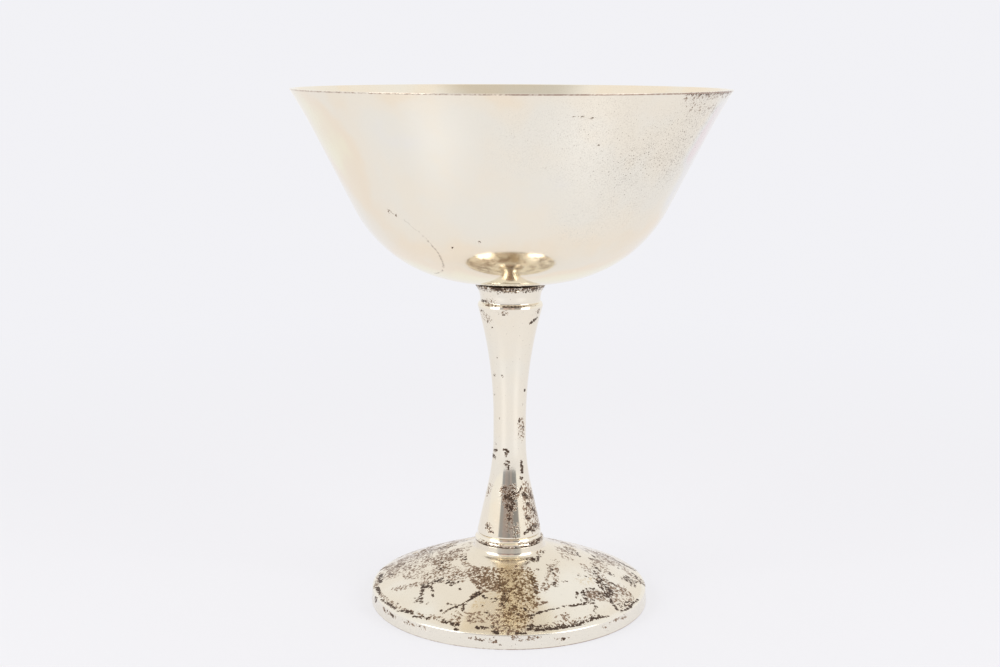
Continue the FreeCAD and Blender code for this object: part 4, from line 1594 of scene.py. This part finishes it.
brass = plainMetal("bareBrass", "brass")
zinc = plainMetal("zincSteel", "zinc")
springSteel = plainMetal("springSteel", "spring")
metals = [(stud, zinc), (boss, brass), (washer, zinc), (springWasher, springSteel), (nut, brass)]
for piece, metal in metals:
    piece.data.materials.append(metal)
print("hidden fastenings finished")


standsFor = [
    (bowl, "bowl", "bowl_silver"),
    (topCollar, "top_collar", "stem_silver"),
    (stem, "stem_tube", "stem_silver"),
    (baseCollar, "base_collar", "stem_silver"),
    (foot, "foot_shell", "foot_silver"),
    (boss, "bowl_boss", "bare_brass"),
    (stud, "tie_stud", "zinc_steel"),
    (washer, "clamp_washer", "zinc_steel"),
    (springWasher, "spring_washer", "spring_steel"),
    (nut, "clamp_nut", "bare_brass"),
]
for piece, node, slotName in standsFor:
    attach(piece, "root")
    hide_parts(node)
print("pieces fixed to the frame")


# Studio: white floor that fades into an even white, dark room in front, two softboxes. Angles are
# in degrees, the floor's and the softboxes' measures in metres.

studio = {
    "white": (0.887, 0.885, 0.918),
    "floorRadius": 1.2,
    "floorGlow": 0.62,
    "floorPaint": 0.36,
    "floorBandAzimuth": 42.0,
    "floorBandWidth": 30.0,
    "floorBandGain": 0.16,
    "floorBandFrom": 0.1,
    "floorFadeFrom": 0.14,
    "floorFadeTo": 0.4,
    "floorRings": 60,
    "floorSegments": 128,
    "floorDrop": 0.02,    # millimetres, so that the floor and the foot don't share a face
    "skyTint": (0.95, 0.94, 0.93),
    "roomTop": 27.0,
    "roomTopSoftness": 0.06,    # share of straight up
    "roomHalfWidth": 39.0,
    "roomSideSoftness": 0.05,    # radians, as is the ceiling's
    "ceilingElevation": 66.0,
    "ceilingHalfWidth": 24.0,
    "ceilingSoftness": 0.16,
    "ceiling": (0.68, 0.66, 0.62),
    "roomFarWall": (0.30, 0.32, 0.33),
    "farWallShare": 0.7,
    "farWallTop": (0.12, 0.2),
    "roomStripes": [(-40, (0.50, 0.50, 0.56)), (-27, (0.46, 0.43, 0.48)), (-22, (0.62, 0.43, 0.40)),
                    (-8, (0.46, 0.32, 0.30)), (0, (0.19, 0.16, 0.16)), (6, (0.66, 0.46, 0.43)),
                    (13, (0.48, 0.36, 0.34)), (18, (0.22, 0.20, 0.22)), (40, (0.32, 0.30, 0.33))],
    "softboxDistance": 0.75,
    "softboxAzimuth": 57.0,
    "softboxElevation": 27.0,
    "softboxSize": (0.42, 0.46),
    "softboxRadiance": 2.65,
    "softboxAim": 0.03,
}


def whiteGlow(tree, strength):
    node = tree.nodes.new("ShaderNodeEmission")
    node.inputs["Color"].default_value = (*studio["white"], 1)
    feed(tree, node.inputs["Strength"], strength)
    return node.outputs[0]


def floorWhite():
    material = bpy.data.materials.new("floorWhite")
    tree = emptyTree(material)
    place = tree.nodes.new("ShaderNodeTexCoord").outputs["Object"]
    away = vectorCalc(tree, "LENGTH", place, (0, 0, 0))
    azimuth = calc(tree, "ABSOLUTE", azimuthOf(tree, place)[0])
    aside = offBy(tree, azimuth, math.radians(studio["floorBandAzimuth"]))
    band = step(tree, aside, 0.0, math.radians(studio["floorBandWidth"]), studio["floorBandGain"], 0.0)
    # The floor's two brighter bands show only where the cup mirrors it, and not close to the foot.
    mirrored = tree.nodes.new("ShaderNodeLightPath").outputs["Is Glossy Ray"]
    mirrored = calc(tree, "MULTIPLY", mirrored,
                    step(tree, away, studio["floorBandFrom"], studio["floorFadeFrom"]))
    gain = calc(tree, "MULTIPLY_ADD", band, mirrored, 1.0)
    lit = tree.nodes.new("ShaderNodeBsdfDiffuse")
    lit.inputs["Color"].default_value = (*(part * studio["floorPaint"] for part in studio["white"]), 1)
    near = tree.nodes.new("ShaderNodeAddShader")
    tree.links.new(lit.outputs[0], near.inputs[0])
    tree.links.new(whiteGlow(tree, calc(tree, "MULTIPLY", gain, studio["floorGlow"])), near.inputs[1])
    far = step(tree, away, studio["floorFadeFrom"], studio["floorFadeTo"])
    above = mixShaders(tree, far, near.outputs[0], whiteGlow(tree, 1.0))
    # Seen from below the floor is clear, so that the underside shows.
    below = tree.nodes.new("ShaderNodeNewGeometry").outputs["Backfacing"]
    clear = tree.nodes.new("ShaderNodeBsdfTransparent").outputs[0]
    output = tree.nodes.new("ShaderNodeOutputMaterial")
    tree.links.new(mixShaders(tree, below, above, clear), output.inputs["Surface"])
    return material


def makeFloor():
    rings = studio["floorRings"]
    outline = [(studio["floorRadius"] / mm * (i / rings) ** 2, 0.0) for i in range(rings + 1)]
    floor = latheObject("floor", outline, studio["floorSegments"], closed=False)
    if floor.data.polygons[0].normal.z < 0:
        floor.data.flip_normals()
    floor.location.z = cadBox[0].z - studio["floorDrop"] * mm
    floor.data.materials.append(floorWhite())


def makeSurroundings():
    world = bpy.data.worlds.new("whiteStudio")
    bpy.context.scene.world = world
    tree = emptyTree(world)
    way = tree.nodes.new("ShaderNodeTexCoord").outputs["Generated"]
    azimuth, height = azimuthOf(tree, way)
    stripes = ramp(tree, calc(tree, "MULTIPLY_ADD", azimuth, 1 / math.pi, 0.5),
                   [(0.5 + angle / 180, colour) for angle, colour in studio["roomStripes"]])
    farWall = step(tree, height, *studio["farWallTop"], studio["farWallShare"], 0.0)
    room = blend(tree, farWall, stripes, studio["roomFarWall"])

    def upTo(value, limit, soft):
        return step(tree, value, limit - soft, limit + soft, 1.0, 0.0)

    besideFront = upTo(calc(tree, "ABSOLUTE", azimuth), math.radians(studio["roomHalfWidth"]),
                       studio["roomSideSoftness"])
    underTop = upTo(height, math.sin(math.radians(studio["roomTop"])), studio["roomTopSoftness"])
    inRoom = calc(tree, "MULTIPLY", besideFront, underTop)

    # The ceiling is a round patch, straight ahead of the cup's front and high up.
    lift, edge = math.radians(studio["ceilingElevation"]), math.radians(studio["ceilingHalfWidth"])
    facing = vectorCalc(tree, "DOT_PRODUCT", way, (0.0, -math.cos(lift), math.sin(lift)))
    inCeiling = step(tree, facing, math.cos(edge + studio["ceilingSoftness"]),
                     math.cos(edge - studio["ceilingSoftness"]))
    above = blend(tree, inCeiling, studio["skyTint"], studio["ceiling"])

    mirrored = tree.nodes.new("ShaderNodeBackground")
    feed(tree, mirrored.inputs["Color"], blend(tree, inRoom, above, room))
    backdrop = tree.nodes.new("ShaderNodeBackground")
    backdrop.inputs["Color"].default_value = (*studio["white"], 1)
    direct = tree.nodes.new("ShaderNodeLightPath").outputs["Is Camera Ray"]
    seen = mixShaders(tree, direct, mirrored.outputs[0], backdrop.outputs[0])
    output = tree.nodes.new("ShaderNodeOutputWorld")
    tree.links.new(seen, output.inputs["Surface"])


def makeSoftbox(name, azimuth):
    light = bpy.data.lights.new(name, "AREA")
    light.shape = "RECTANGLE"
    light.size, light.size_y = studio["softboxSize"]
    light.energy = studio["softboxRadiance"] * math.pi * light.size * light.size_y
    box = bpy.data.objects.new(name, light)
    bpy.context.scene.collection.objects.link(box)
    lift = math.radians(studio["softboxElevation"])
    across = studio["softboxDistance"] * math.cos(lift)
    box.location = Vector(aroundAxis(azimuth, across, studio["softboxDistance"] * math.sin(lift)))
    aim = Vector((0, 0, studio["softboxAim"]))
    box.rotation_euler = (aim - box.location).to_track_quat("-Z", "Y").to_euler()
    box.visible_camera = False


makeFloor()
makeSurroundings()
makeSoftbox("leftSoftbox", -studio["softboxAzimuth"])
makeSoftbox("rightSoftbox", studio["softboxAzimuth"])
print("studio lit")


# Camera: distance and height are in heights of the cup

cameraView = {
    "lens": 52.0,
    "distance": 2.740,
    "height": 1.0588,
    "pitch": 10.866,
    "yaw": 0.411,
    "roll": 0.21,
    "sensor": 36.0,
    "nearest": 0.01,
    "farthest": 20.0,
}


def makeCamera():
    tall = cadBox[1].z - cadBox[0].z
    data = bpy.data.cameras.new("camera")
    data.lens = cameraView["lens"]
    data.sensor_width = cameraView["sensor"]
    data.clip_start = cameraView["nearest"]
    data.clip_end = cameraView["farthest"]
    camera = bpy.data.objects.new("camera", data)
    bpy.context.scene.collection.objects.link(camera)
    turn = Matrix.Rotation(math.radians(cameraView["yaw"]), 4, "Z")
    turn @= Matrix.Rotation(math.radians(90 - cameraView["pitch"]), 4, "X")
    turn @= Matrix.Rotation(math.radians(cameraView["roll"]), 4, "Z")
    place = Vector((0.0, -cameraView["distance"] * tall, cadBox[0].z + cameraView["height"] * tall))
    camera.matrix_world = Matrix.Translation(place) @ turn
    bpy.context.scene.camera = camera


makeCamera()
bpy.context.scene.view_settings.view_transform = "Standard"
bpy.context.scene.view_settings.look = "None"
print("camera placed")
